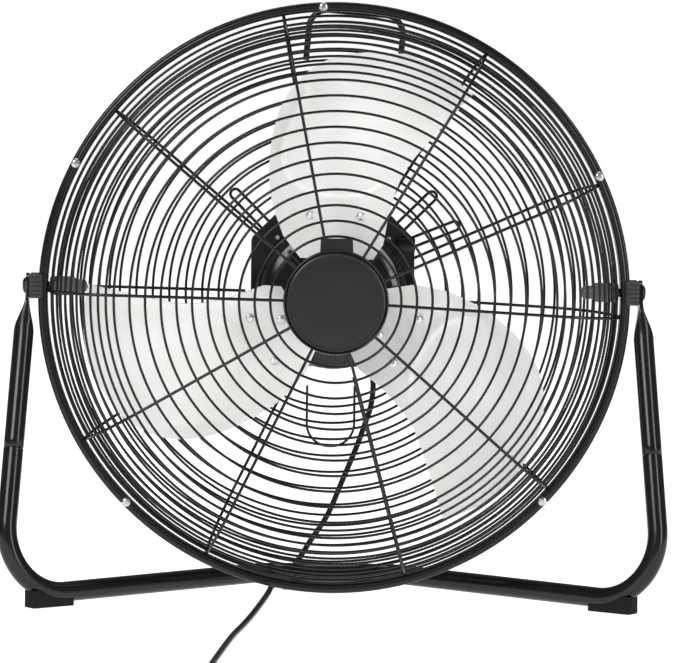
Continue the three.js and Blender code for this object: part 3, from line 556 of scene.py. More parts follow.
def rod(
    start: Point, end: Point, radius: float, sides: int = 24, end_radius: float | None = None
) -> BMesh:
    """A straight round bar, tapered if its end radius differs.

    Args:
        start: centre of one end.
        end: centre of the other end.
        radius: radius at the start.
        sides: sides of the section.
        end_radius: radius at the end, or None for the same.

    Returns:
        The closed bar.
    """
    first, last = Vector(start), Vector(end)
    bm = bmesh.new()
    bmesh.ops.create_cone(
        bm, cap_ends=True, segments=sides, radius1=radius,
        radius2=radius if end_radius is None else end_radius, depth=(last - first).length,
    )
    turn = Vector((0, 0, 1)).rotation_difference(last - first).to_matrix().to_4x4()
    bm.transform(Matrix.Translation((first + last) / 2) @ turn)
    return bm


def slab(x: Point, y: Point, z: Point) -> BMesh:
    """A box between two values along each axis.

    Args:
        x: Lower and upper x.
        y: Lower and upper y.
        z: Lower and upper z.

    Returns:
        The box.
    """
    bm = bmesh.new()
    bmesh.ops.create_cube(bm, size=1.0)
    centre = Vector(((x[0] + x[1]) / 2, (y[0] + y[1]) / 2, (z[0] + z[1]) / 2))
    size = Matrix.Diagonal((x[1] - x[0], y[1] - y[0], z[1] - z[0], 1))
    bm.transform(Matrix.Translation(centre) @ size)
    return bm


def together(*parts: BMesh) -> BMesh:
    """Puts several meshes into the first and frees the rest."""
    whole = parts[0]
    for part in parts[1:]:
        mesh = bpy.data.meshes.new("part")
        part.to_mesh(mesh)
        part.free()
        whole.from_mesh(mesh)
        bpy.data.meshes.remove(mesh)
    return whole


def placed(bm: BMesh, *matrices: Matrix) -> BMesh:
    """Applies matrices to a bmesh, the last one first, and returns it.

    Args:
        bm: Mesh to work on.
        matrices: Matrices, of which the last is applied first.

    Returns:
        The same mesh, moved.
    """
    whole = Matrix.Identity(4)
    for matrix in matrices:
        whole = whole @ matrix
    bm.transform(whole)
    return bm


def combined(body: BMesh, tool: BMesh, operation: str = "DIFFERENCE") -> BMesh:
    """Cuts, joins or intersects two closed solids.

    Args:
        body: the solid that is worked on; it is freed.
        tool: the other solid; it is freed.
        operation: DIFFERENCE, UNION or INTERSECT.

    Returns:
        The result.
    """
    objects = []
    for part in (body, tool):
        mesh = bpy.data.meshes.new("blank")
        part.to_mesh(mesh)
        part.free()
        blank = bpy.data.objects.new("blank", mesh)
        bpy.context.scene.collection.objects.link(blank)
        objects.append(blank)
    work, cutter = objects
    boolean = work.modifiers.new("cut", "BOOLEAN")
    boolean.operation = operation
    boolean.solver = "EXACT"
    boolean.object = cutter
    shaped = work.evaluated_get(bpy.context.evaluated_depsgraph_get())
    result = bmesh.new()
    result.from_mesh(shaped.to_mesh())
    shaped.to_mesh_clear()
    for blank in objects:
        mesh = blank.data
        bpy.data.objects.remove(blank)
        bpy.data.meshes.remove(mesh)
    return result


def smooth_line(points: Sequence[Point], step: float, alpha: float = 0.5) -> list[Vector]:
    """A Catmull-Rom line through every point.

    Args:
        points: the points that it passes through.
        step: about how far apart the returned points lie.
        alpha: 0.5 for the centripetal form, 0 for the uniform one.

    Returns:
        Points along the line, both ends included.
    """
    given = [Vector(point).to_3d() for point in points]
    whole = [2 * given[0] - given[1], *given, 2 * given[-1] - given[-2]]
    line = [given[0]]
    for a, b, c, d in zip(whole, whole[1:], whole[2:], whole[3:]):
        ta = 0.0
        tb = ta + (b - a).length ** alpha
        tc = tb + (c - b).length ** alpha
        td = tc + (d - c).length ** alpha
        pieces = max(1, round((c - b).length / step))
        for i in range(1, pieces + 1):
            t = tb + (tc - tb) * i / pieces
            ab = a.lerp(b, (t - ta) / (tb - ta))
            bc = b.lerp(c, (t - tb) / (tc - tb))
            cd = c.lerp(d, (t - tc) / (td - tc))
            abc = ab.lerp(bc, (t - ta) / (tc - ta))
            bcd = bc.lerp(cd, (t - tb) / (td - tb))
            line.append(abc.lerp(bcd, (t - tb) / (tc - tb)))
    return line


def bent_line(corners: Sequence[Point], radii: Sequence[float], step: float) -> list[Vector]:
    """Straight runs between corners, with an arc of the given radius at each inner corner.

    Args:
        corners: the corner points.
        radii: bend radius at each inner corner.
        step: about how far apart points lie round a bend.

    Returns:
        The points of the line.
    """
    spots = [Vector(corner) for corner in corners]
    line = [spots[0]]
    for i, radius in enumerate(radii, start=1):
        corner = spots[i]
        back = (spots[i - 1] - corner).normalized()
        ahead = (spots[i + 1] - corner).normalized()
        half = back.angle(ahead) / 2
        first = corner + back * radius / math.tan(half)
        last = corner + ahead * radius / math.tan(half)
        centre = corner + (back + ahead).normalized() * radius / math.sin(half)
        arm = first - centre
        sweep = arm.angle(last - centre)
        axis = arm.cross(last - centre).normalized()
        pieces = max(3, round(sweep * radius / step))
        for k in range(pieces + 1):
            line.append(centre + Matrix.Rotation(sweep * k / pieces, 3, axis) @ arm)
    line.append(spots[-1])
    return line


def even(line: Sequence[Vector], step: float) -> list[Vector]:
    """Adds points to the long straight runs of a line, so that no step is far over the one given.

    Args:
        line: Points to follow.
        step: Longest step wanted.

    Returns:
        The line with the added points.
    """
    result = [line[0]]
    for a, b in zip(line, line[1:]):
        pieces = max(1, round((b - a).length / step))
        result.extend(a.lerp(b, k / pieces) for k in range(1, pieces + 1))
    return result


def about_axis(degrees: float) -> Matrix:
    """Turns a piece built along +X round the fan's axis, counterclockwise seen from the front."""
    return Matrix.Rotation(-math.radians(degrees), 4, "Y")


@dataclass
class Maker:
    """Turns finished meshes into pieces and keeps count of them.

    Args:
        datum: where the cage and the stand lie.
        made: names of the pieces made so far.
    """

    datum: Datum
    made: list[str] = field(default_factory=list)

    def piece(
        self,
        name: str,
        bm: BMesh,
        finish: Finish,
        body: Body,
        place: Matrix,
        nodes: Sequence[str] = (),
        rounding: float = 0.0,
        sharp: float = 35.0,
        rides: bool = True,
    ) -> bpy.types.Object:
        """Makes one piece of the fan.

        Args:
            name: the piece's name.
            bm: its mesh in millimetres; it is freed.
            finish: its material.
            body: what it moves with.
            place: takes its millimetres to metres in the model.
            nodes: the solid model's nodes that it stands for.
            rounding: width of the bevel on its sharp edges, in millimetres.
            sharp: the angle in degrees past which an edge stays sharp in shading.
            rides: False for a piece that is attached to no body.

        Returns:
            The piece's object.
        """
        bm.transform(place)
        mesh = bpy.data.meshes.new(name)
        bm.to_mesh(mesh)
        bm.free()
        mesh.shade_smooth()
        mesh.set_sharp_from_angle(angle=math.radians(sharp))
        mesh.materials.append(finish.material())
        made = bpy.data.objects.new(name, mesh)
        bpy.context.scene.collection.objects.link(made)
        if rounding:
            bevel = made.modifiers.new("edge", "BEVEL")
            bevel.width = rounding * MM
            bevel.segments = 2
            bevel.limit_method = "ANGLE"
            bevel.angle_limit = math.radians(35)
        if rides:
            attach(made, body.value)
        if nodes:
            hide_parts(*nodes)
        self.made.append(name)
        LOG.info("%s: %d faces", name, len(mesh.polygons))
        return made


# ---------------------------------------------------------------- guards and rim


@dataclass
class Guard:
    """A wire guard: round hoops, spokes welded over them, and stays on the rear one.

    Args:
        name: front or rear.
        side: -1 in front of the split of the rim, 1 behind it.
        depth: how far the flat face stands off the split.
        first_hoop: radius of the smallest hoop.
        pitch: distance between the hoops of the flat face.
        flat_hoops: hoops on the flat face.
        shoulder_hoops: hoops round the shoulder, before the last one.
        shoulder_step: degrees between them.
        shoulder_end: where the shoulder meets the rim, in degrees.
        spoke_start: radius of the inner end of the spokes.
        stay_angles: where pairs of stay wires run out from the motor plate.
    """

    name: str
    side: int
    depth: float
    first_hoop: float
    pitch: float
    flat_hoops: int
    shoulder_hoops: int
    shoulder_step: float
    shoulder_end: float
    spoke_start: float
    stay_angles: tuple[float, ...] = ()
    rim_inner: float = 271.0
    rim_depth: float = 9.0
    weld_setback: float = 4.0
    hoop_wire: float = 2.5
    spoke_wire: float = 3.0
    spoke_offset: float = 2.25
    stay_inner: float = 84.0
    stay_outer: float = 139.0
    stay_spread: float = 9.5
    spoke_angles: tuple[float, ...] = (24, 59, 101, 140, 179, 210, 244, 285, 319, 357)

    def shoulder(self, degrees: float, offset: float = 0.0) -> Vector:
        """A point on the shoulder, or that far outside it, as radius and y.

        Args:
            degrees: how far round the quarter ellipse.
            offset: distance out from the surface.

        Returns:
            Radius and y as a vector in the XY plane.
        """
        flat = self.first_hoop + self.pitch * (self.flat_hoops - 1)
        end = math.radians(self.shoulder_end)
        across = (self.rim_inner - self.weld_setback - flat) / math.sin(end)
        deep = (self.depth - self.rim_depth - 1.4) / (1 - math.cos(end))
        angle = math.radians(degrees)
        out = Vector((deep * math.sin(angle), self.side * across * math.cos(angle), 0)).normalized()
        place = Vector(
            (flat + across * math.sin(angle), self.side * (self.depth - deep * (1 - math.cos(angle))), 0)
        )
        return place + out * offset

    def hoops(self) -> list[BMesh]:
        """Every hoop of the guard, on the face and round the shoulder."""
        flat = [
            Vector((self.first_hoop + self.pitch * k, self.side * self.depth, 0))
            for k in range(self.flat_hoops)
        ]
        steps = [self.shoulder_step * k for k in range(1, self.shoulder_hoops + 1)]
        round_it = [self.shoulder(degrees) for degrees in [*steps, self.shoulder_end]]
        return [
            hoop(place.x, place.y, self.hoop_wire, 144 if place.x > 150 else 96)
            for place in [*flat, *round_it]
        ]

    def spoke(self, degrees: float) -> BMesh:
        """One spoke, from its inner end over the face and the shoulder to the rim.

        Args:
            degrees: Angle round the axis, in degrees.

        Returns:
            The spoke.
        """
        inner = Vector((self.spoke_start, self.side * (self.depth + self.spoke_offset), 0))
        steps = [self.shoulder_end * k / 14 for k in range(15)]
        path = even([inner, *[self.shoulder(step, self.spoke_offset) for step in steps]], 30)
        path.append(Vector((self.rim_inner + 0.6, self.side * (self.rim_depth - 2.5), 0)))
        return placed(swept(path, self.spoke_wire / 2, 10), about_axis(degrees))

    def stay(self, degrees: float) -> BMesh:
        """A pair of stay wires with a round end, out from the motor plate.

        Args:
            degrees: Angle round the axis, in degrees.

        Returns:
            Both wires as one mesh.
        """
        y = self.side * (self.depth + self.spoke_offset)
        half = self.stay_spread / 2
        corners = [
            (self.stay_inner, y, -half), (self.stay_outer, y, -half),
            (self.stay_outer, y, half), (self.stay_inner, y, half),
        ]
        return placed(
            swept(bent_line(corners, [half - 0.1] * 2, 1.2), self.spoke_wire / 2, 10),
            about_axis(degrees)
        )

    def build(self, maker: Maker) -> None:
        """Builds the guard as one welded piece.

        Args:
            maker: Maker that names, places and dresses the pieces.
        """
        wires = self.hoops()
        wires += [self.spoke(degrees) for degrees in self.spoke_angles]
        wires += [self.stay(degrees) for degrees in self.stay_angles]
        maker.piece(
            f"{self.name}_guard", together(*wires), POWDER_COAT, Body.HEAD, maker.datum.cage,
            [f"{self.name}_grille_face", f"{self.name}_grille_side"], sharp=60,
        )


@dataclass
class Rim:
    """The two rim bands and the screws that clamp them."""

    radius: float = 280.0
    width: float = 9.0
    depth: float = 9.0
    bead: float = 1.1
    screw_angles: tuple[float, ...] = (25.6, 93, 153, 225, 316.5)
    head_radius: float = 4.4
    head_height: float = 2.4
    shank: float = 2.0

    def band(self, near: float, far: float) -> BMesh:
        """A rolled band with round edges and a bead along the middle of its face.

        Args:
            near: y of its front face.
            far: y of its rear face.

        Returns:
            The band.
        """
        inner = self.radius - self.width
        middle = (inner + self.radius) / 2
        bm = turned(
            [(inner, near), (self.radius, near), (self.radius, far), (inner, far)], 192, 2.4, 5
        )
        outer_face = near if near < 0 else far
        bead = hoop(
            middle, outer_face + (self.bead * 0.25 if near < 0 else -self.bead * 0.25),
            self.bead * 2, 192, 10
        )
        return together(bm, bead)

    def screw(self, degrees: float) -> BMesh:
        """A pan-head screw with a cross recess, at an angle round the rim.

        Args:
            degrees: Angle round the axis, in degrees.

        Returns:
            The screw.
        """
        height, radius = self.head_height, self.head_radius
        top = -self.depth - GAP - height
        profile = [
            (0, top), (radius * 0.5, top + 0.12), (radius * 0.82, top + 0.55), (radius, top + 1.5),
            (radius, top + height), (self.shank, top + height), (self.shank, self.depth + 3),
            (0, self.depth + 3),
        ]
        head = turned(profile, 32)
        slot = [
            slab((-2.3, 2.3), (top - 1, top + 1.1), (-0.55, 0.55)),
            slab((-0.55, 0.55), (top - 1, top + 1.1), (-2.3, 2.3))
        ]
        recess = combined(slot[0], slot[1], "UNION")
        head = combined(head, recess)
        turn = Matrix.Rotation(math.radians(degrees * 7), 4, "Y")
        angle = math.radians(degrees)
        circle = self.radius - self.width / 2
        spot = Matrix.Translation((circle * math.cos(angle), 0, circle * math.sin(angle)))
        return placed(head, spot, turn)

    def build(self, maker: Maker) -> None:
        """Builds both bands and the screws.

        Args:
            maker: Maker that names, places and dresses the pieces.
        """
        cage = maker.datum.cage
        maker.piece(
            "front_rim_band", self.band(-self.depth, -GAP / 2), POWDER_COAT, Body.HEAD, cage,
            ["front_rim"]
        )
        maker.piece(
            "rear_rim_band", self.band(GAP / 2, self.depth), POWDER_COAT, Body.HEAD, cage,
            ["rear_rim"]
        )
        for i, degrees in enumerate(self.screw_angles, start=1):
            maker.piece(
                f"rim_pan_screw_{i}", self.screw(degrees), ZINC_PLATE, Body.HEAD, cage,
                [f"rim_screw_{i}"]
            )


@dataclass
class Badge:
    """The round badge in the middle of the front guard. Its face is left blank."""

    back: float = -59.05
    radius: float = 46.5
    bezel_radius: float = 49.5
    bezel_depth: float = 4.0
    depth: float = 5.0
    clip_width: float = 31.0
    clip_height: float = 11.0

    def build(self, maker: Maker) -> None:
        """Builds the bezel with its clip tab, and the disc.

        Args:
            maker: Maker that names, places and dresses the pieces.
        """
        cage = maker.datum.cage
        front = self.back - self.bezel_depth
        seat = self.back - 1.2
        bezel = turned(
            [
                (8, self.back), (self.bezel_radius - 0.8, self.back),
                (self.bezel_radius, self.back - 1.6),
                (self.bezel_radius - 0.5, front + 0.5), (self.bezel_radius - 1.3, front),
                (self.radius + GAP + 0.5, front), (self.radius + GAP, front + 0.6),
                (self.radius + GAP, seat), (8, seat),
            ],
            160, 0.35, 2,
        )
        top = self.bezel_radius + self.clip_height - 1
        half = self.clip_width / 2
        tab = outlined([(-half, 46.5), (half, 46.5), (half - 0.6, top), (0.6 - half, top)], 1.2, 3)
        extruded(tab, 3.2)
        placed(
            tab, Matrix.Translation((0, self.back, 0)), Matrix.Rotation(math.radians(90), 4, "X")
        )
        rib = slab((-half * 0.62, -half * 0.5), (self.back - 3.9, self.back - 3.0), (47, top - 1))
        lip = hoop(self.bezel_radius - 1.2, front + 0.35, 1.6, 160, 16)
        maker.piece(
            "badge_bezel_ring", together(bezel, lip, tab, rib), CHARCOAL_ABS, Body.HEAD, cage,
            ["badge_bezel"],
            rounding=0.25,
        )
        rear = seat - GAP
        face = seat - self.depth
        disc = turned(
            [
                (0, rear), (self.radius, rear), (self.radius, face + 1.3),
                (self.radius - 0.5, face + 0.55),
                (self.radius - 1.7, face + 0.1), (self.radius - 3.0, face + 0.3),
                (self.radius - 4.2, face + 0.2),
                (self.radius * 0.5, face + 0.02), (0, face),
            ],
            160,
        )
        maker.piece("badge_face", disc, BADGE_LACQUER, Body.HEAD, cage, ["badge_disc"], sharp=28)


@dataclass
class CarryWires:
    """The carry handle, the cord hook and the clip with its wire loop, on the rear guard."""

    rear_out: float = 91.75
    handle_wire: float = 6.0
    handle_half: float = 45.5
    handle_foot: float = 222.0
    handle_top: float = 272.0
    handle_corner: float = 18.0
    handle_angle: float = -4.4
    hook_wire: float = 2.4
    hook_half: float = 23.0
    hook_top: float = -90.0
    hook_bottom: float = -149.0
    clip_x: tuple[float, float] = (61.0, 79.0)
    clip_z: tuple[float, float] = (41.0, 55.0)
    clip_y: tuple[float, float] = (74.15, 86.15)
    loop_wire: float = 3.0
    loop_spread: float = 9.0
    loop_length: float = 46.0
    loop_rise: float = 22.0

    def handle(self) -> BMesh:
        """The carry handle: a bent rod welded behind the top of the guard."""
        y = self.rear_out + GAP + self.handle_wire / 2
        half = self.handle_half
        corners = [
            (-half, y, self.handle_foot), (-half, y, self.handle_top),
            (half, y, self.handle_top), (half, y, self.handle_foot),
        ]
        path = even(bent_line(corners, [self.handle_corner] * 2, 3), 12)
        return placed(swept(path, self.handle_wire / 2, 20), about_axis(self.handle_angle))

    def hook(self) -> BMesh:
        """The U-shaped wire that the lead is wound on."""
        y = self.rear_out + GAP + self.hook_wire / 2
        half = self.hook_half
        corners = [
            (-half, y, self.hook_top), (-half, y, self.hook_bottom),
            (half, y, self.hook_bottom), (half, y, self.hook_top),
        ]
        return swept(even(bent_line(corners, [half - 1] * 2, 3), 10), self.hook_wire / 2, 10)

    def clip(self) -> BMesh:
        """The moulded clip on the motor plate and the wire loop that it holds."""
        rise = math.radians(self.loop_rise)
        along = Vector((math.cos(rise), 0, math.sin(rise)))
        across = Vector((-along.z, 0, along.x)) * self.loop_spread / 2
        centre = Vector([sum(pair) / 2 for pair in (self.clip_x, self.clip_y, self.clip_z)])
        reach = self.loop_length + (self.clip_x[1] - self.clip_x[0]) / 2
        corners = [
            centre - across + along * 4, centre - across + along * reach,
            centre + across + along * reach, centre + across + along * 4,
        ]
        wire = swept(
            bent_line(corners, [self.loop_spread / 2 - 0.1] * 2, 1.2), self.loop_wire / 2, 12
        )
        body = slab(self.clip_x, self.clip_y, self.clip_z)
        bmesh.ops.bevel(
            body, geom=body.edges[:], offset=1.4, segments=3, profile=0.5, affect="EDGES",
            material=-1
        )
        return together(body, wire)

    def build(self, maker: Maker) -> None:
        """Builds the three pieces.

        Args:
            maker: Maker that names, places and dresses the pieces.
        """
        cage = maker.datum.cage
        maker.piece(
            "carry_handle_rod", self.handle(), POWDER_COAT, Body.HEAD, cage, ["carry_handle"],
            sharp=60
        )
        maker.piece(
            "cord_hook_wire", self.hook(), POWDER_COAT, Body.HEAD, cage, ["cord_hook"], sharp=60
        )
        maker.piece(
            "side_clip_loop", self.clip(), POWDER_COAT, Body.HEAD, cage, ["side_clip"], sharp=60
        )


# ---------------------------------------------------------------- motor


@dataclass
class Motor:
    """The motor's two pressed shells, its plate with four screws, and the switch housing behind it."""

    radius: float = 70.0
    front: float = 24.0
    split: float = 52.0
    rear: float = 86.15
    wall: float = 2.5
    hole: float = 5.5
    ribs: int = 8
    plate_front: float = 86.45
    plate_sheet: float = 2.0
    plate_half: tuple[float, float] = (79.0, 74.0)
    plate_rise: float = 3.0
    plate_chamfer: float = 24.0
    plate_hole: float = 9.0
    screw_circle: float = 76.0
    screw_angles: tuple[float, ...] = (45, 135, 225, 315)
    box_front: float = 92.05
    box_radius: float = 58.0
    box_depth: float = 15.0
    box_wall: float = 2.2
    knob_z: float = 22.0
    knob_radius: float = 17.0
    knob_height: float = 8.0

    def shell(self, face: float, edge: float) -> BMesh:
        """A deep-drawn cup with a round shoulder, closed on one side but for the shaft's hole.

        Args:
            face: y of its closed face.
            edge: y of its open edge.

        Returns:
            The cup.
        """
        way = 1 if edge > face else -1
        inner = self.radius - self.wall
        corners = [
            (self.hole, face), (20, face), (22.5, face + way * 2.4),
            (self.radius - 14, face + way * 3.2),
            (self.radius - 4.2, face + way * 7), (self.radius, face + way * 15),
            (self.radius, edge),
            (inner, edge), (inner, face + way * 16), (self.radius - 7, face + way * 9.5),
            (self.radius - 15, face + way * 6.2), (20, face + way * 5.4),
            (self.hole, face + way * 3),
        ]
        return turned(corners, 96, 1.4, 3)

    def rib(self, degrees: float, face: float, way: int) -> BMesh:
        """A stiffening rib pressed out along the shell's face.

        Args:
            degrees: Angle round the axis, in degrees.
            face: Where the shell's face stands along y.
            way: Direction out of the shell, -1 or 1.

        Returns:
            The rib.
        """
        bar = slab(
            (24, self.radius - 8),
            (face + min(way * 1.4, way * 4.6), face + max(way * 1.4, way * 4.6)), (-2.2, 2.2)
        )
        bmesh.ops.bevel(
            bar, geom=bar.edges[:], offset=1.1, segments=3, profile=0.5, affect="EDGES", material=-1
        )
        return placed(bar, about_axis(degrees))

    def vents(self, face: float, way: int, count: int) -> BMesh:
        """Slots round the shoulder of a shell, as one cutting tool.

        Args:
            face: Where the shell's face stands along y.
            way: Direction out of the shell, -1 or 1.
            count: Number of slots.

        Returns:
            The cutting tool.
        """
        tools = []
        for k in range(count):
            low, high = sorted((face + way * 10.5, face + way * 22))
            tools.append(
                placed(
                    slab((self.radius - 12, self.radius + 4), (low, high), (-1.7, 1.7)),
                    about_axis(360 * (k + 0.5) / count)
                )
            )
        return together(*tools)

    def plate(self) -> BMesh:
        """The mounting plate: a rectangle with cut corners and a shaft hole."""
        half_x, half_z = self.plate_half
        cut = self.plate_chamfer
        corners = [
            (half_x, half_z - cut), (half_x - cut, half_z), (cut - half_x, half_z),
            (-half_x, half_z - cut),
            (-half_x, cut - half_z), (cut - half_x, -half_z), (half_x - cut, -half_z),
            (half_x, cut - half_z),
        ]
        sheet = outlined([(x, z + self.plate_rise) for x, z in corners], 3.0, 4)
        extruded(sheet, self.plate_sheet)
        placed(
            sheet, Matrix.Translation((0, self.plate_front + self.plate_sheet, 0)),
            Matrix.Rotation(math.radians(90), 4, "X")
        )
        low, high = self.plate_front, self.plate_front + self.plate_sheet
        sheet = combined(sheet, rod((0, low - 2, 0), (0, high + 2, 0), self.plate_hole, 48))
        return sheet

    def screw(self, degrees: float) -> BMesh:
        """A hex washer screw that holds the plate.

        Args:
            degrees: Angle round the axis, in degrees.

        Returns:
            The screw.
        """
        seat = self.plate_front + self.plate_sheet + GAP
        washer = turned([(0, seat), (4, seat), (4, seat + 0.6), (0, seat + 0.6)], 32, 0.15, 2)
        head = rod((0, seat + 0.5, 0), (0, seat + 2.2, 0), 3.3, 6)
        shank = rod((0, self.plate_front - 5, 0), (0, seat + 0.4, 0), 2.0, 16)
        angle = math.radians(degrees)
        spot = Matrix.Translation(
            (self.screw_circle * math.cos(angle), 0, self.screw_circle * math.sin(angle))
        )
        return placed(together(washer, head, shank), spot)

    def housing(self) -> BMesh:
        """The switch housing: a shallow moulded cap with vent slots and raised position marks."""
        back = self.box_front + self.box_depth
        inner = self.box_radius - self.box_wall
        cap = turned(
            [
                (0, back), (self.box_radius - 3.4, back), (self.box_radius, back - 4),
                (self.box_radius, self.box_front), (inner, self.box_front),
                (inner, back - self.box_wall - 2.4), (inner - 2.4, back - self.box_wall),
                (0, back - self.box_wall),
            ],
            96, 1.0, 3,
        )
        tools = [rod((0, back - 6, self.knob_z), (0, back + 3, self.knob_z), 3.5, 24)]
        for k in range(7):
            z = -14 - 4.6 * k
            half = 30 - 2.6 * k
            tools.append(slab((-half, half), (back - 1.0, back + 2), (z - 0.8, z + 0.8)))
        cap = combined(cap, together(*tools))
        marks = []
        for k in range(4):
            turn = math.radians(45 + 90 * k)
            x, z = 23.5 * math.cos(turn), self.knob_z + 23.5 * math.sin(turn)
            marks.append(
                turned([
                    (0, back + 0.5), (0.8 + 0.25 * k, back + 0.5), (1 + 0.25 * k, back - 0.5), (0, back - 0.5)
                ], 20)
            )
            placed(marks[-1], Matrix.Translation((x, 0, z)))
        return together(cap, *marks)

    def knob(self) -> BMesh:
        """The speed knob: a fluted skirt with a raised pointer bar and a stem."""
        back = self.box_front + self.box_depth + GAP
        skirt = bmesh.new()
        ring = bmesh.ops.create_circle(skirt, cap_ends=True, segments=120, radius=1)["verts"]
        for i, vert in enumerate(ring):
            vert.co *= self.knob_radius - 0.45 * (1 + math.cos(2 * math.pi * 20 * i / len(ring)))
        extruded(skirt, self.knob_height)
        placed(skirt, Matrix.Translation((0, back, 0)), Matrix.Rotation(math.radians(-90), 4, "X"))
        grip = slab(
            (-2.6, 2.6), (back + self.knob_height - 1, back + self.knob_height + 3),
            (-self.knob_radius + 1.5, self.knob_radius - 1.5)
        )
        bmesh.ops.bevel(
            grip, geom=grip.edges[:], offset=1.0, segments=3, profile=0.5, affect="EDGES",
            material=-1
        )
        stem = rod((0, back - 9, 0), (0, back + 1, 0), 3, 24)
        return placed(together(skirt, grip, stem), Matrix.Translation((0, 0, self.knob_z)))

    def build(self, maker: Maker) -> None:
        """Builds the shells, the plate, its screws, the housing and the knob.

        Args:
            maker: Maker that names, places and dresses the pieces.
        """
        cage = maker.datum.cage
        front = combined(self.shell(self.front, self.split), self.vents(self.front, 1, 24))
        ribs = [self.rib(360 * k / self.ribs, self.front, 1) for k in range(self.ribs)]
        maker.piece(
            "motor_front_shell", together(front, *ribs), MOTOR_ENAMEL, Body.HEAD, cage,
            ["motor_front_cover"]
        )
        rear = combined(self.shell(self.rear, self.split + GAP), self.vents(self.rear, -1, 24))
        maker.piece("motor_rear_shell", rear, MOTOR_ENAMEL, Body.HEAD, cage, ["motor_rear_cover"])
        maker.piece(
            "motor_plate_pressing", self.plate(), POWDER_COAT, Body.HEAD, cage, ["motor_plate"],
            rounding=0.4
        )
        for i, degrees in enumerate(self.screw_angles, start=1):
            maker.piece(
                f"plate_hex_screw_{i}", self.screw(degrees), ZINC_PLATE, Body.HEAD, cage,
                [f"plate_screw_{i}"]
            )
        maker.piece(
            "switch_housing_cap", self.housing(), GREY_NYLON, Body.HEAD, cage, ["switch_housing"],
            rounding=0.3
        )
        maker.piece(
            "speed_knob_grip", self.knob(), CHARCOAL_ABS, Body.KNOB, cage, ["speed_knob"],
            rounding=0.5
        )


# ---------------------------------------------------------------- propeller


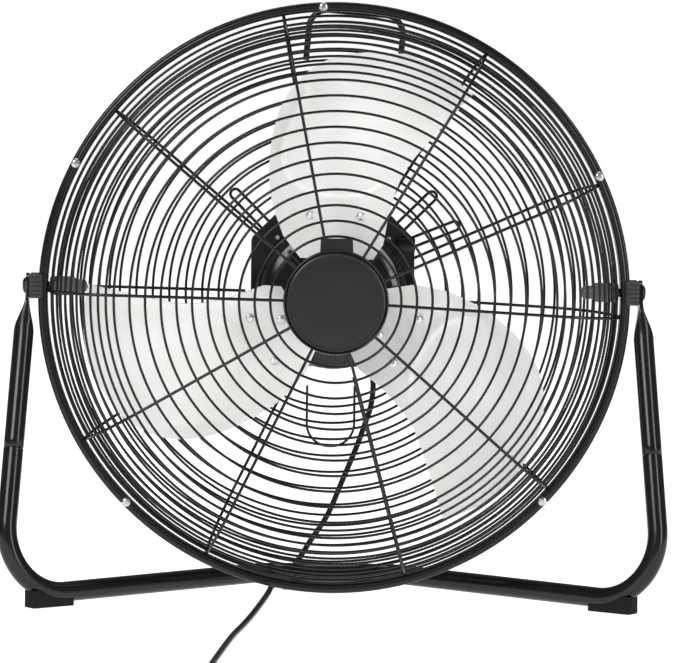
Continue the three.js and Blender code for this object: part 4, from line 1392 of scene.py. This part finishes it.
@dataclass
class Propeller:
    """Three aluminium blades riveted to a steel spider on the shaft."""

    blade_angles: tuple[float, ...] = (90, 210, 330)
    sheet: float = 1.5
    pitch: float = 18.0
    camber: float = 420.0
    hub_plane: float = -4.0
    hub_radius: float = 15.0
    hub_front: float = 14.0
    hub_rear: float = 20.0
    disc_radius: float = 36.0
    arm_length: float = 91.0
    arm_root: float = 34.0
    arm_tip: float = 62.0
    spider_sheet: float = 2.0
    shaft: float = 4.0
    nut_radius: float = 8.0
    nut_height: float = 6.0
    rivet_radius: float = 4.7
    rivets: tuple[tuple[float, float], ...] = ((-25.0, 78.5), (25.0, 78.5), (8.5, 53.5))
    grid: float = 2.6
    crease_height: float = 0.9
    crease_width: float = 3.2
    crease: tuple[tuple[float, float], ...] = (
        (-30, 196), (-44, 172), (-54, 145), (-54, 122), (-44, 108), (-26, 98), (4, 94), (28, 97),
        (42, 104)
    )

    def in_place(self, degrees: float) -> Matrix:
        """Takes a piece built for an upright, unpitched blade to its place on the hub."""
        return (
            Matrix.Rotation(-math.radians(degrees - 90), 4, "Y")
            @ Matrix.Translation((0, self.hub_plane, 0))
            @ Matrix.Rotation(-math.radians(self.pitch), 4, "Z")
        )

    def outline(self) -> list[Vector]:
        """The blade's edge in its own plane: x across it, y out from the axis."""
        widen = 1 / math.cos(math.radians(self.pitch))
        tip = [
            (-50, 59), (-61.5, 92), (-64, 131), (-57, 171), (-38, 205), (-6, 227), (28, 233),
            (62, 232)
        ]
        corner = [(62, 232), (94, 217), (121, 195)]
        trailing = [(121, 195), (90, 158), (64, 124), (51, 90), (44, 52)]
        edge = [Vector((-33, 38, 0))]
        for run in (tip, corner, trailing):
            edge.extend(smooth_line([(x, y, 0) for x, y in run], 7, 0.0))
        edge.append(Vector((35, 38, 0)))
        kept = [edge[0]]
        for spot in edge[1:]:
            if (spot - kept[-1]).length > 0.5:
                kept.append(spot)
        return [Vector((spot.x * widen, spot.y, 0)) for spot in kept]

    def crown(self, x: float) -> float:
        """How far behind its crest the blade lies, at a distance across it."""
        return self.camber - math.sqrt(self.camber**2 - x * x)

    def blade(self) -> BMesh:
        """One blade: a cambered sheet with a raised crease, cut to its outline."""
        bm = bmesh.new()
        size = (200.0, 206.0)
        counts = [round(side / self.grid) for side in size]
        bmesh.ops.create_grid(bm, x_segments=counts[0], y_segments=counts[1], size=0.5)
        bm.transform(Matrix.Translation((30, 136, 0)) @ Matrix.Diagonal((*size, 1, 1)))
        line = smooth_line([(x, y, 0) for x, y in self.crease], 3)
        for vert in bm.verts:
            x, z = vert.co.x, vert.co.y
            away = min((vert.co - spot).length for spot in line) / self.crease_width
            lift = self.crease_height * math.exp(-away * away)
            vert.co = Vector((x, self.crown(x) - self.sheet - lift, z))
        bmesh.ops.recalc_face_normals(bm, faces=bm.faces[:])
        made = bmesh.ops.extrude_face_region(bm, geom=bm.faces[:])["geom"]
        back = [part for part in made if isinstance(part, bmesh.types.BMVert)]
        bmesh.ops.translate(bm, verts=back, vec=(0, self.sheet, 0))
        bmesh.ops.recalc_face_normals(bm, faces=bm.faces[:])
        prism = bmesh.new()
        prism.faces.new([prism.verts.new(spot) for spot in self.outline()])
        extruded(prism, 140)
        placed(prism, Matrix.Translation((0, 70, 0)), Matrix.Rotation(math.radians(90), 4, "X"))
        return combined(bm, prism, "INTERSECT")

    def rivet(self, x: float, z: float) -> BMesh:
        """A domed rivet head on the blade, with its shank through the arm behind.

        Args:
            x: Place across the blade.
            z: Place along the blade.

        Returns:
            The rivet.
        """
        radius = self.rivet_radius
        profile = [
            (0, -2.6), (radius * 0.35, -2.45), (radius * 0.68, -1.95), (radius * 0.9, -1.15),
            (radius, -0.2),
            (radius, 0.1), (2.2, 0.1), (2.2, 5.2), (3.4, 5.2), (3.2, 6.2), (0, 6.4),
        ]
        lean = Matrix.Rotation(math.asin(x / self.camber), 4, "Z")
        spot = Matrix.Translation((x, self.crown(x) - self.sheet, z))
        return placed(turned(profile, 28), spot, lean)

    def spider(self) -> BMesh:
        """The hub with its disc and three arms."""
        front = self.hub_plane - self.hub_front
        rear = self.hub_plane + self.hub_rear
        hub = turned(
            [
                (self.shaft + GAP, front), (self.hub_radius, front), (self.hub_radius, rear),
                (self.shaft + GAP, rear)
            ],
            48, 1.0, 3
        )
        near = self.hub_plane + self.sheet + GAP
        disc = turned(
            [
                (self.hub_radius - 1, near), (self.disc_radius, near),
                (self.disc_radius, near + self.spider_sheet), (self.hub_radius - 1, near + self.spider_sheet)
            ],
            64, 0.5, 2
        )
        arms = []
        for degrees in self.blade_angles:
            root, tip, length = self.arm_root / 2, self.arm_tip / 2, self.arm_length
            arm = outlined(
                [
                    (-root, 0), (-tip, length - 10), (-tip + 10, length),
                    (tip - 10, length), (tip, length - 10), (root, 0)
                ],
                3.0, 3
            )
            extruded(arm, self.spider_sheet)
            back = self.sheet + GAP + 1 + self.spider_sheet
            placed(
                arm, self.in_place(degrees), Matrix.Translation((0, back, 0)),
                Matrix.Rotation(math.radians(90), 4, "X")
            )
            arms.append(arm)
        return together(hub, disc, *arms)

    def nut(self) -> BMesh:
        """The hexagon nut on the end of the shaft."""
        rear = self.hub_plane - self.hub_front - GAP
        body = rod((0, rear - self.nut_height, 0), (0, rear, 0), self.nut_radius, 6)
        bore = rod((0, rear - 20, 0), (0, rear + 5, 0), self.shaft + GAP, 24)
        return combined(body, bore)

    def build(self, maker: Maker) -> None:
        """Builds the blades, the rivets, the spider and the nut.

        Args:
            maker: Maker that names, places and dresses the pieces.
        """
        cage = maker.datum.cage
        whole = self.blade()
        for i, degrees in enumerate(self.blade_angles, start=1):
            blade = placed(whole.copy(), self.in_place(degrees))
            rolled = ROLLED_ALUMINIUM.turned(math.radians(degrees - 90))
            maker.piece(
                f"aluminium_blade_{i}", blade, rolled, Body.ROTOR, cage, [f"blade_{i}"], sharp=40
            )
            heads = [placed(self.rivet(x, z), self.in_place(degrees)) for x, z in self.rivets]
            maker.piece(f"blade_rivets_{i}", together(*heads), RIVET_ALUMINIUM, Body.ROTOR, cage)
        whole.free()
        maker.piece(
            "spider_pressing", self.spider(), ZINC_PLATE, Body.ROTOR, cage, ["hub_spider"],
            rounding=0.3
        )
        maker.piece(
            "propeller_hex_nut", self.nut(), ZINC_PLATE, Body.ROTOR, cage, ["prop_nut"],
            rounding=0.6
        )


# ---------------------------------------------------------------- stand


@dataclass
class Stand:
    """The bent base tube with its slip joints, the two arms, the tilt pivots and the feet."""

    tube: float = 9.5
    wall: float = 1.7
    front_corner: tuple[float, float, float] = (309.0, -80.0, 11.8)
    rear_corner: tuple[float, float, float] = (62.0, 104.0, 15.9)
    front_bend: float = 57.0
    rear_bend: float = 40.0
    pivot_height: float = 299.0
    pivot_x: float = 290.0
    slip_height: float = 148.0
    spigot: float = 34.0
    flat_half: float = 1.5
    flat_width: float = 24.0
    squash_start: float = 45.0
    squash_end: float = 13.0
    bolt: float = 4.0
    bolt_head: float = 7.5
    washer_x: float = 269.0
    washer_radius: float = 8.0
    washer_thickness: float = 1.6
    cap_radius: float = 8.8
    cap_nose: float = 6.2
    cap_length: float = 33.0
    cap_body: float = 22.0
    block_x: tuple[float, float] = (275.2, 288.2)
    block_depth: float = 30.0
    block_height: float = 23.0
    foot_start: float = 32.0
    foot_length: float = 46.0
    foot_width: float = 16.0
    foot_height: float = 17.0
    pad_x: float = 35.0
    pad_length: float = 18.0
    pad_width: float = 17.0

    def corner(self, side: int, spot: Point) -> Vector:
        """A corner of the base on the left (-1) or the right (1)."""
        return Vector((side * spot[0], spot[1], spot[2]))

    def arm_point(self, side: int, height: float) -> Vector:
        """The point on an arm's centre line at a height.

        Args:
            side: -1 for the left, 1 for the right.
            height: Height above the floor.

        Returns:
            The point on the centre line.
        """
        top = Vector((side * self.pivot_x, 0, self.pivot_height))
        bottom = self.corner(side, self.front_corner)
        return top.lerp(bottom, (self.pivot_height - height) / (self.pivot_height - bottom.z))

    def base_line(self) -> list[Vector]:
        """The centre line of the base, with its four bends."""
        corners = [
            self.arm_point(-1, self.slip_height), self.corner(-1, self.front_corner),
            self.corner(-1, self.rear_corner), self.corner(1, self.rear_corner),
            self.corner(1, self.front_corner), self.arm_point(1, self.slip_height),
        ]
        bends = [self.front_bend, self.rear_bend, self.rear_bend, self.front_bend]
        return even(bent_line(corners, bends, 5), 25)

    def base(self) -> BMesh:
        """The base: one tube bent four times, open at both tops for the arms."""
        bore = self.tube - self.wall + GAP
        sockets = [
            rod(
                self.arm_point(s, self.slip_height - self.spigot - 2),
                self.arm_point(s, self.slip_height + 2), bore, 32
            )
            for s in (-1, 1)
        ]
        return combined(swept(self.base_line(), self.tube, 40), together(*sockets))

    def arm(self, side: int) -> BMesh:
        """An arm: a tube with a spigot below, pressed flat and drilled at the pivot.

        Args:
            side: -1 for the left, 1 for the right.

        Returns:
            The arm.
        """
        lean = Vector(
            (0, self.front_corner[1], self.front_corner[2] - self.pivot_height)
        ).normalized()
        across = Vector((0, -lean.z, lean.y))
        low = self.slip_height + GAP
        stations: list[tuple[Vector, float, float]] = []
        for height in (
            low, low + 0.6, *(low + 8 + 12 * k for k in range(8)), self.pivot_height - self.squash_start
        ):
            width = self.tube - (0.5 if height == low else 0.0)
            stations.append((self.arm_point(side, height), width, width))
        plate = Vector((side * self.pivot_x, 0, self.pivot_height))
        last = stations[-1][0]
        end = plate + lean * self.squash_end
        half = self.flat_width / 2
        for k in range(1, 11):
            share = k / 10
            ease = share * share * (3 - 2 * share)
            centre = last.lerp(end, share)
            centre.x = last.x + (end.x - last.x) * ease
            stations.append(
                (
                    centre, self.tube + (half - self.tube) * ease,
                    self.tube + (self.flat_half - self.tube) * ease
                )
            )
        for k in range(1, 13):
            angle = math.radians(90 * k / 12)
            past = half * math.sin(angle) - 0.02
            width = half * math.cos(math.asin(min(1.0, past / half)))
            stations.append((plate - lean * past, max(width, 0.6), self.flat_half))
        rings = []
        for centre, width, thick in stations:
            ring = []
            for k in range(40):
                angle = 2 * math.pi * k / 40
                out = width * math.sin(angle)
                ring.append(
                    centre + across * width * math.cos(angle) + Vector((max(-thick, min(thick, out)), 0, 0))
                )
            rings.append(ring)
        spigot = rod(
            self.arm_point(side, self.slip_height - self.spigot), self.arm_point(side, low + 1),
            self.tube - self.wall, 32
        )
        hole = rod(
            (side * (self.pivot_x - 6), 0, self.pivot_height),
            (side * (self.pivot_x + 6), 0, self.pivot_height), self.bolt + GAP, 32
        )
        return together(combined(lofted(rings), hole), spigot)

    def pivot_block(self, side: int, rise: float) -> BMesh:
        """The moulded block between an arm and the rim, grooved and hollowed over the rim.

        Args:
            side: -1 for the left one.
            rise: height of the pivot over the fan's axis.

        Returns:
            The block, in the frame of the cage.
        """
        x = sorted(side * value for value in self.block_x)
        half = self.block_height / 2
        deep = self.block_depth / 2
        body = slab(x, (-deep, deep), (rise - half, rise + half))
        bmesh.ops.bevel(
            body, geom=body.edges[:], offset=1.6, segments=3, profile=0.5, affect="EDGES",
            material=-1
        )
        room = turned([(268, -9.3), (280.4, -9.3), (280.4, 9.3), (268, 9.3)], 192)
        body = combined(body, room)
        tools = [rod((side * 270, 0, rise), (side * 294, 0, rise), self.bolt + GAP, 32)]
        for k in (-2, -1, 0, 1, 2):
            z = rise + 4.1 * k
            for way in (-1, 1):
                y = sorted((way * (deep - 1.1), way * (deep + 2)))
                tools.append(slab((x[0] - 1, x[1] + 1), y, (z - 0.7, z + 0.7)))
        return combined(body, together(*tools))

    def bolt_piece(self, side: int) -> BMesh:
        """The tilt bolt, with a domed head outside the arm and a shank into the cap.

        Args:
            side: -1 for the left, 1 for the right.

        Returns:
            The bolt.
        """
        seat = self.pivot_x + self.flat_half + GAP
        profile = [
            (0, -3.2), (self.bolt_head * 0.55, -3.0), (self.bolt_head * 0.9, -1.9),
            (self.bolt_head, -0.6),
            (self.bolt_head, 0), (self.bolt, 0), (self.bolt, seat - 251), (0, seat - 251),
        ]
        head = turned(profile, 40)
        socket = rod((0, -4, 0), (0, -1.4, 0), 2.6, 6)
        head = combined(head, socket)
        turn = Matrix.Rotation(math.radians(90 if side > 0 else -90), 4, "Z")
        return placed(head, Matrix.Translation((side * seat, 0, self.pivot_height)), turn)

    def washer(self, side: int) -> BMesh:
        """The plain washer inside the rim.

        Args:
            side: -1 for the left, 1 for the right.

        Returns:
            The washer.
        """
        inner, outer = self.bolt + GAP, self.washer_radius
        ring = turned(
            [(inner, 0), (outer, 0), (outer, self.washer_thickness), (inner, self.washer_thickness)],
            40, 0.3, 2
        )
        turn = Matrix.Rotation(math.radians(90 if side > 0 else -90), 4, "Z")
        return placed(ring, Matrix.Translation((side * self.washer_x, 0, self.pivot_height)), turn)

    def cap(self, side: int) -> BMesh:
        """The long ribbed cap nut inside the rim.

        Args:
            side: -1 for the left, 1 for the right.

        Returns:
            The cap nut.
        """
        bore = self.bolt + GAP
        body, length = self.cap_body, self.cap_length
        profile = [(bore, 0), (self.cap_radius, 0), (self.cap_radius, body - 1)]
        profile += [
            (self.cap_radius - 1.4, body), (self.cap_nose + 0.2, body + 2),
            (self.cap_nose, length - 3),
            (self.cap_nose - 1, length - 1), (self.cap_nose - 3.2, length), (0, length),
            (0, body - 5), (bore, body - 5),
        ]
        shell = turned(profile, 64)
        ribs = []
        for k in range(18):
            bar = slab(
                (self.cap_radius - 0.7, self.cap_radius + 0.25), (1.4, body - 2.4), (-0.75, 0.75)
            )
            ribs.append(placed(bar, about_axis(20 * k)))
        turn = Matrix.Rotation(math.radians(90 if side > 0 else -90), 4, "Z")
        outer = self.washer_x - self.washer_thickness - GAP
        return placed(
            together(shell, *ribs), Matrix.Translation((side * outer, 0, self.pivot_height)), turn
        )

    def front_foot(self, side: int) -> BMesh:
        """A rubber wedge that fills the gap under a front bend.

        Args:
            side: -1 for the left, 1 for the right.

        Returns:
            The wedge.
        """
        first = self.corner(side, (*self.front_corner[:2], 0))
        way = (self.corner(side, (*self.rear_corner[:2], 0)) - first).normalized()
        half = self.foot_width / 2
        wedge = slab(
            (self.foot_start, self.foot_start + self.foot_length), (-half, half),
            (0, self.foot_height)
        )
        bmesh.ops.bevel(
            wedge, geom=wedge.edges[:], offset=1.2, segments=3, profile=0.5, affect="EDGES",
            material=-1
        )
        turn = Vector((1, 0, 0)).rotation_difference(way).to_matrix().to_4x4()
        placed(wedge, Matrix.Translation(first), turn)
        return combined(wedge, swept(self.base_line(), self.tube + 0.5, 40))

    def rear_foot(self, side: int) -> BMesh:
        """A flat rubber pad under the straight rear run.

        Args:
            side: -1 for the left, 1 for the right.

        Returns:
            The pad.
        """
        centre = self.corner(side, self.rear_corner)
        x = side * self.pad_x
        pad = slab(
            (x - self.pad_length / 2, x + self.pad_length / 2),
            (centre.y - self.pad_width / 2, centre.y + self.pad_width / 2), (0, centre.z - 4),
        )
        bore = rod((-80, centre.y, centre.z), (80, centre.y, centre.z), self.tube + 0.5, 48)
        return combined(pad, bore)

    def build(self, maker: Maker) -> None:
        """Builds the base, the arms, the pivots and the feet.

        Args:
            maker: Maker that names, places and dresses the pieces.
        """
        floor = maker.datum.stand
        maker.piece(
            "base_bent_tube", self.base(), POWDER_COAT, Body.STAND, floor, ["base_tube"],
            rounding=0.3
        )
        for side, name in ((-1, "left"), (1, "right")):
            maker.piece(
                f"{name}_arm_tube", self.arm(side), POWDER_COAT, Body.STAND, floor, [f"arm_{name}"],
                sharp=50
            )
            block = self.pivot_block(side, maker.datum.pivot_rise)
            maker.piece(
                f"{name}_pivot_moulding", block, GREY_NYLON, Body.HEAD, maker.datum.cage,
                [f"pivot_block_{name}"], rounding=0.2,
            )
            maker.piece(
                f"{name}_tilt_bolt", self.bolt_piece(side), BLACK_ZINC, Body.STAND, floor,
                [f"pivot_bolt_{name}"]
            )
            maker.piece(
                f"{name}_plain_washer", self.washer(side), BLACK_ZINC, Body.STAND, floor,
                [f"pivot_washer_{name}"]
            )
            maker.piece(
                f"{name}_cap_nut", self.cap(side), CAP_NYLON, Body.STAND, floor,
                [f"pivot_cap_{name}"], rounding=0.2
            )
            maker.piece(
                f"{name}_rubber_wedge", self.front_foot(side), BLACK_RUBBER, Body.STAND, floor,
                [f"front_foot_{name}"],
            )
            maker.piece(
                f"{name}_rubber_pad", self.rear_foot(side), BLACK_RUBBER, Body.STAND, floor,
                [f"rear_foot_{name}"], rounding=0.8,
            )


# ---------------------------------------------------------------- lead


@dataclass
class Lead:
    """The mains lead: strain relief, cord with its coil, plug and tie."""

    radius: float = 2.8
    floor: float = 0.3
    length_m: float = 1.8
    relief_root: tuple[float, float, float] = (33.6, 98.25, -48.2)
    relief_way: tuple[float, float, float] = (0.2, 0.1, -0.97)
    relief_length: float = 25.0
    relief_radii: tuple[float, float] = (5.6, 4.0)
    coil: tuple[float, float] = (-82.4, -568.0)
    coil_mean: float = 33.5
    turns: float = 4.25
    tail_x: float = -62.0
    plug_x: float = -46.7
    plug_length: float = 34.0
    plug_radius: float = 10.0
    plug_z: float = 8.2
    pin_length: float = 17.0
    pin_width: float = 6.3
    pin_thickness: float = 1.5
    pin_spread: float = 12.7
    tie_width: float = 9.0

    def exit(self, axis_z: float) -> Vector:
        """Where the cord leaves the strain relief, in the frame of the stand."""
        way = Vector(self.relief_way).normalized()
        return Vector(self.relief_root) + way * self.relief_length + Vector((0, 0, axis_z / MM))

    def route(self, axis_z: float) -> list[Vector]:
        """The centre line from the strain relief to the start of the coil.

        Args:
            axis_z: Height of the fan's axis.

        Returns:
            Points of the centre line.
        """
        low = self.floor + self.radius
        start = self.exit(axis_z)
        way = Vector(self.relief_way).normalized()
        drop = [
            start + way * GAP, start + way * 12, (41, 105, 191), (38.8, 108.5, 176),
            (34.3, 111.5, 162),
            (26.9, 115, 140), (13, 119, 105), (-1.3, 122.5, 70), (-17, 126.5, 45), (-28, 128.5, 27),
            (-38, 126.5, 13.5), (-46, 119.5, 5.6),
        ]
        run = [
            (-51.5, 109.5), (-55, 95), (-58, 55), (-63, 0), (-69, -60), (-76, -125), (-84, -190),
            (-92, -250),
            (-98.5, -310), (-104, -365), (-109, -417), (-113.5, -465), (-117.5, -515),
            (-120.3, -541),
            (self.coil[0] - self.coil_mean - 2 * self.radius, self.coil[1]),
        ]
        line = smooth_line([*drop, *[(x, y, low) for x, y in run]], 7)
        return [Vector((spot.x, spot.y, max(spot.z, low))) for spot in line]

    def wound(self) -> list[Vector]:
        """The centre line round the coil: two layers, three turns side by side, and the tail."""
        low = self.floor + self.radius
        high = low + 2 * self.radius
        wide, mean, tight = (self.coil_mean + 2 * self.radius * k for k in (1, 0, -1))
        radii = [
            (0.0, wide), (0.75, wide), (1.0, mean), (1.75, mean), (2.0, tight), (3.7, tight),
            (4.0, mean), (4.3, mean)
        ]
        heights = [(0.0, low), (2.5, low), (2.8, high), (4.3, high)]
        steps = round(self.turns * 32)
        line = []
        for k in range(1, steps + 1):
            t = self.turns * k / steps
            angle = math.radians(180 + 360 * t)
            reach = self.between(radii, t)
            line.append(
                Vector((
                    self.coil[0] + reach * math.cos(angle), self.coil[1] + reach * math.sin(angle),
                    self.between(heights, t),
                ))
            )
        y = self.coil[1] - self.coil_mean
        tail = [Vector((x, y, high)) for x in (-78.0, -73.0, -68.0, self.tail_x)]
        tail.append(Vector((self.plug_x + 1.5, y, self.plug_z)))
        return line + tail

    @staticmethod
    def between(table: Sequence[tuple[float, float]], t: float) -> float:
        """Eased value at t between the entries of a short table.

        Args:
            table: pairs of place and value, in order.
            t: where to read it.

        Returns:
            The value.
        """
        for (a, low), (b, high) in zip(table, table[1:]):
            if t <= b:
                share = (t - a) / (b - a)
                return low + (high - low) * share * share * (3 - 2 * share)
        return table[-1][1]

    def relief(self) -> BMesh:
        """The strain relief: a tapered sleeve with rings moulded round it."""
        start = Vector(self.relief_root)
        way = Vector(self.relief_way).normalized()
        count = 40
        path = [start + way * self.relief_length * k / count for k in range(count + 1)]
        root, tip = self.relief_radii

        def width(share: float) -> float:
            """Share of the root's radius at a share of the length."""
            groove = 0.12 if share > 0.2 and int(share * count / 3) % 2 else 0.0
            return 1 + (tip / root - 1) * share - groove

        return swept(path, root, 24, width)

    def plug(self) -> BMesh:
        """The plug: a flat-bottomed moulded body with finger ridges."""
        y = self.coil[1] - self.coil_mean
        start, end = (self.plug_x, y, self.plug_z), (self.plug_x + self.plug_length, y, self.plug_z)
        count = 24
        path = [Vector(start).lerp(Vector(end), k / count) for k in range(count + 1)]

        def width(share: float) -> float:
            """Share of the full radius: a neck, ridges, a body and a round front edge.

            Args:
                share: Place along the plug, from 0 to 1.

            Returns:
                Share of the full radius.
            """
            neck = 0.62 + 0.38 * min(1.0, share / 0.62) ** 1.2
            ridge = -0.045 if 0.12 < share < 0.6 and round(share * count) % 3 == 0 else 0.0
            front = -0.1 * max(0.0, (share - 0.93) / 0.07) ** 2
            return neck + ridge + front

        body = swept(path, self.plug_radius, 40, width)
        return combined(body, slab((-400, 400), (-900, -300), (0.0, 40)), "INTERSECT")

    def pins(self) -> BMesh:
        """The two flat pins, with the usual hole near the end of each."""
        y = self.coil[1] - self.coil_mean
        end = self.plug_x + self.plug_length
        made = []
        for way in (-1, 1):
            middle = y + way * self.pin_spread / 2
            pin = slab(
                (end - 2, end + self.pin_length),
                (middle - self.pin_thickness / 2, middle + self.pin_thickness / 2),
                (self.plug_z - self.pin_width / 2, self.plug_z + self.pin_width / 2),
            )
            x = end + self.pin_length - 4.5
            made.append(
                combined(pin, rod((x, middle - 2, self.plug_z), (x, middle + 2, self.plug_z), 1.6, 24))
            )
        return together(*made)

    def tie(self) -> BMesh:
        """The rubber tie round the coil."""
        reach = 3 * self.radius + 0.4 + 3 * GAP
        high = self.floor + 4 * self.radius + 0.4 + GAP
        x = self.coil[0] + self.coil_mean
        half = self.tie_width / 2
        outer = slab(
            (x - reach - 1, x + reach + 1), (self.coil[1] - half, self.coil[1] + half),
            (0, high + 1)
        )
        bmesh.ops.bevel(
            outer, geom=[e for e in outer.edges if abs(e.verts[0].co.y - e.verts[1].co.y) > 1],
            offset=2.2,
            segments=4, profile=0.5, affect="EDGES", material=-1,
        )
        inner = slab((x - reach, x + reach), (self.coil[1] - 9, self.coil[1] + 9), (0.7, high))
        return combined(outer, inner)

    def build(self, maker: Maker) -> None:
        """Args:
            maker: Maker that names, places and dresses the pieces.
        """
        datum = maker.datum
        maker.piece(
            "strain_relief_sleeve", self.relief(), BLACK_RUBBER, Body.HEAD, datum.cage,
            ["strain_relief"], sharp=30
        )
        line = [*self.route(datum.axis_z), *self.wound()]
        cord = maker.piece(
            "mains_cord", swept(line, self.radius, 12), CORD_VINYL, Body.HEAD, datum.stand,
            ["cord_drop", "cord_floor", "cord_coil", "cord_tail"], sharp=60, rides=False,
        )
        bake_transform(cord)
        plug = maker.piece(
            "moulded_plug", self.plug(), CORD_VINYL, Body.STAND, datum.stand, ["plug"], rounding=0.5
        )
        pins = maker.piece("plug_pins", self.pins(), NICKEL, Body.STAND, datum.stand, rounding=0.15)
        tie = maker.piece(
            "cord_rubber_tie", self.tie(), BLACK_RUBBER, Body.STAND, datum.stand, ["cord_tie"]
        )


# ---------------------------------------------------------------- light, floor and camera


@dataclass
class Studio:
    """A white product studio: pale floor, white surroundings, soft boxes and a long lens."""

    focal: float = 224.4
    sensor: float = 36.0
    stand_off: tuple[float, float, float] = (-0.098, -4.0, 0.52)
    aim: tuple[float, float, float] = (0.0052, 0.0, 0.2588)
    roll: float = 0.8

    def world(self) -> None:
        """White to the camera and softer to everything else."""
        world = bpy.data.worlds.new("white_studio")
        world.use_nodes = True
        tree = world.node_tree
        tree.nodes.clear()
        seen = add_node(
            tree, "ShaderNodeBackground", {"Color": (1, 1, 1, 1), "Strength": 1.0}
        ).outputs[0]
        lit = add_node(
            tree, "ShaderNodeBackground", {"Color": (1, 1, 1, 1), "Strength": 0.2}
        ).outputs[0]
        which = add_node(tree, "ShaderNodeLightPath").outputs["Is Camera Ray"]
        mixed = add_node(tree, "ShaderNodeMixShader", {}, {0: which, 1: lit, 2: seen}).outputs[0]
        add_node(tree, "ShaderNodeOutputWorld", {}, {"Surface": mixed})
        bpy.context.scene.world = world

    def soft_box(self, name: str, at: Point, size: tuple[float, float], power: float) -> None:
        """Adds a rectangular light that points at the middle of the fan.

        Args:
            name: its name.
            at: where it stands, in metres.
            size: width and height in metres.
            power: watts.
        """
        light = bpy.data.lights.new(name, "AREA")
        light.shape = "RECTANGLE"
        light.size, light.size_y = size
        light.energy = power
        box = bpy.data.objects.new(name, light)
        box.location = at
        box.rotation_mode = "QUATERNION"
        box.rotation_quaternion = (Vector((0, 0, 0.29)) - Vector(at)).to_track_quat("-Z", "Y")
        box.visible_camera = False
        bpy.context.scene.collection.objects.link(box)

    def floor(self) -> None:
        """A wide pale floor under the feet."""
        bm = bmesh.new()
        bmesh.ops.create_grid(bm, x_segments=1, y_segments=1, size=6.0)
        mesh = bpy.data.meshes.new("studio_floor")
        bm.to_mesh(mesh)
        bm.free()
        finish = bpy.data.materials.new("studio_floor_paint")
        finish.use_nodes = True
        shader = finish.node_tree.nodes["Principled BSDF"]
        shader.inputs["Base Color"].default_value = (0.6, 0.6, 0.6, 1)
        shader.inputs["Roughness"].default_value = 0.6
        shader.inputs["Emission Color"].default_value = (1, 1, 1, 1)
        shader.inputs["Emission Strength"].default_value = 0.95
        mesh.materials.append(finish)
        floor = bpy.data.objects.new("studio_floor", mesh)
        floor.location = (0, 0, -0.0004)
        bpy.context.scene.collection.objects.link(floor)

    def camera(self, datum: Datum) -> None:
        """A long lens a little to the left of the fan and above it, looking slightly down.

        Args:
            datum: Where the bodies stand.
        """
        lens = bpy.data.cameras.new("long_lens")
        lens.lens = self.focal
        lens.sensor_width = self.sensor
        lens.clip_start, lens.clip_end = 0.05, 60
        lens.dof.use_dof = False
        camera = bpy.data.objects.new("long_lens", lens)
        shift = Vector((0, datum.split_y, 0))
        at, aim = Vector(self.stand_off) + shift, Vector(self.aim) + shift
        camera.location = at
        camera.rotation_mode = "QUATERNION"
        level = (aim - at).to_track_quat("-Z", "Y")
        camera.rotation_quaternion = level @ Matrix.Rotation(
            math.radians(self.roll), 3, "Z"
        ).to_quaternion()
        bpy.context.scene.collection.objects.link(camera)
        bpy.context.scene.camera = camera

    def build(self, datum: Datum) -> None:
        """Sets up everything around the fan.

        Args:
            datum: Where the bodies stand.
        """
        self.world()
        self.floor()
        self.soft_box("key_box_left", (-1.6, -2.6, 1.9), (1.4, 1.4), 62)
        self.soft_box("strip_box_right", (2.2, -2.2, 1.2), (0.6, 2.2), 36)
        self.soft_box("top_box", (0.0, 0.4, 3.0), (2.0, 1.2), 28)
        self.camera(datum)
        view = bpy.context.scene.view_settings
        view.view_transform = "Standard"
        view.look = "None"


# ---------------------------------------------------------------- the fan


def paint_hidden_nodes(nodes: dict) -> None:
    """Gives the nodes inside the motor and the switch housing their finishes.

    Args:
        nodes: the solid model's objects by name.
    """
    inside = {
        "rotor_shaft": GROUND_STEEL,
        "front_bearing": COPPER_BRONZE,
        "rear_bearing": COPPER_BRONZE,
        "stator": COPPER_BRONZE,
        "capacitor": CHARCOAL_ABS,
        "speed_switch": GREY_NYLON,
    }
    for name, finish in inside.items():
        node = nodes[name]
        node.data.materials.clear()
        node.data.materials.append(finish.material())


def main() -> None:
    """Loads the solid model, dresses it and sets up the studio."""
    logging.basicConfig(level=logging.INFO, format="%(name)s %(levelname)s %(message)s")
    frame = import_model()
    datum = Datum.of(frame["joints"])
    maker = Maker(datum)
    Guard("front", -1, 55.0, 61.3, 14.6, 11, 9, 7.1, 82.0, 47.0).build(maker)
    Guard(
        "rear", 1, 88.0, 110.0, 15.9, 7, 7, 9.3, 84.0, 84.0, stay_angles=(45, 135, 225, 315)
    ).build(maker)
    Rim().build(maker)
    Badge().build(maker)
    CarryWires().build(maker)
    Motor().build(maker)
    Propeller().build(maker)
    Stand().build(maker)
    Lead().build(maker)
    paint_hidden_nodes(frame["nodes"])
    Studio().build(datum)


if __name__ == "__main__":
    main()
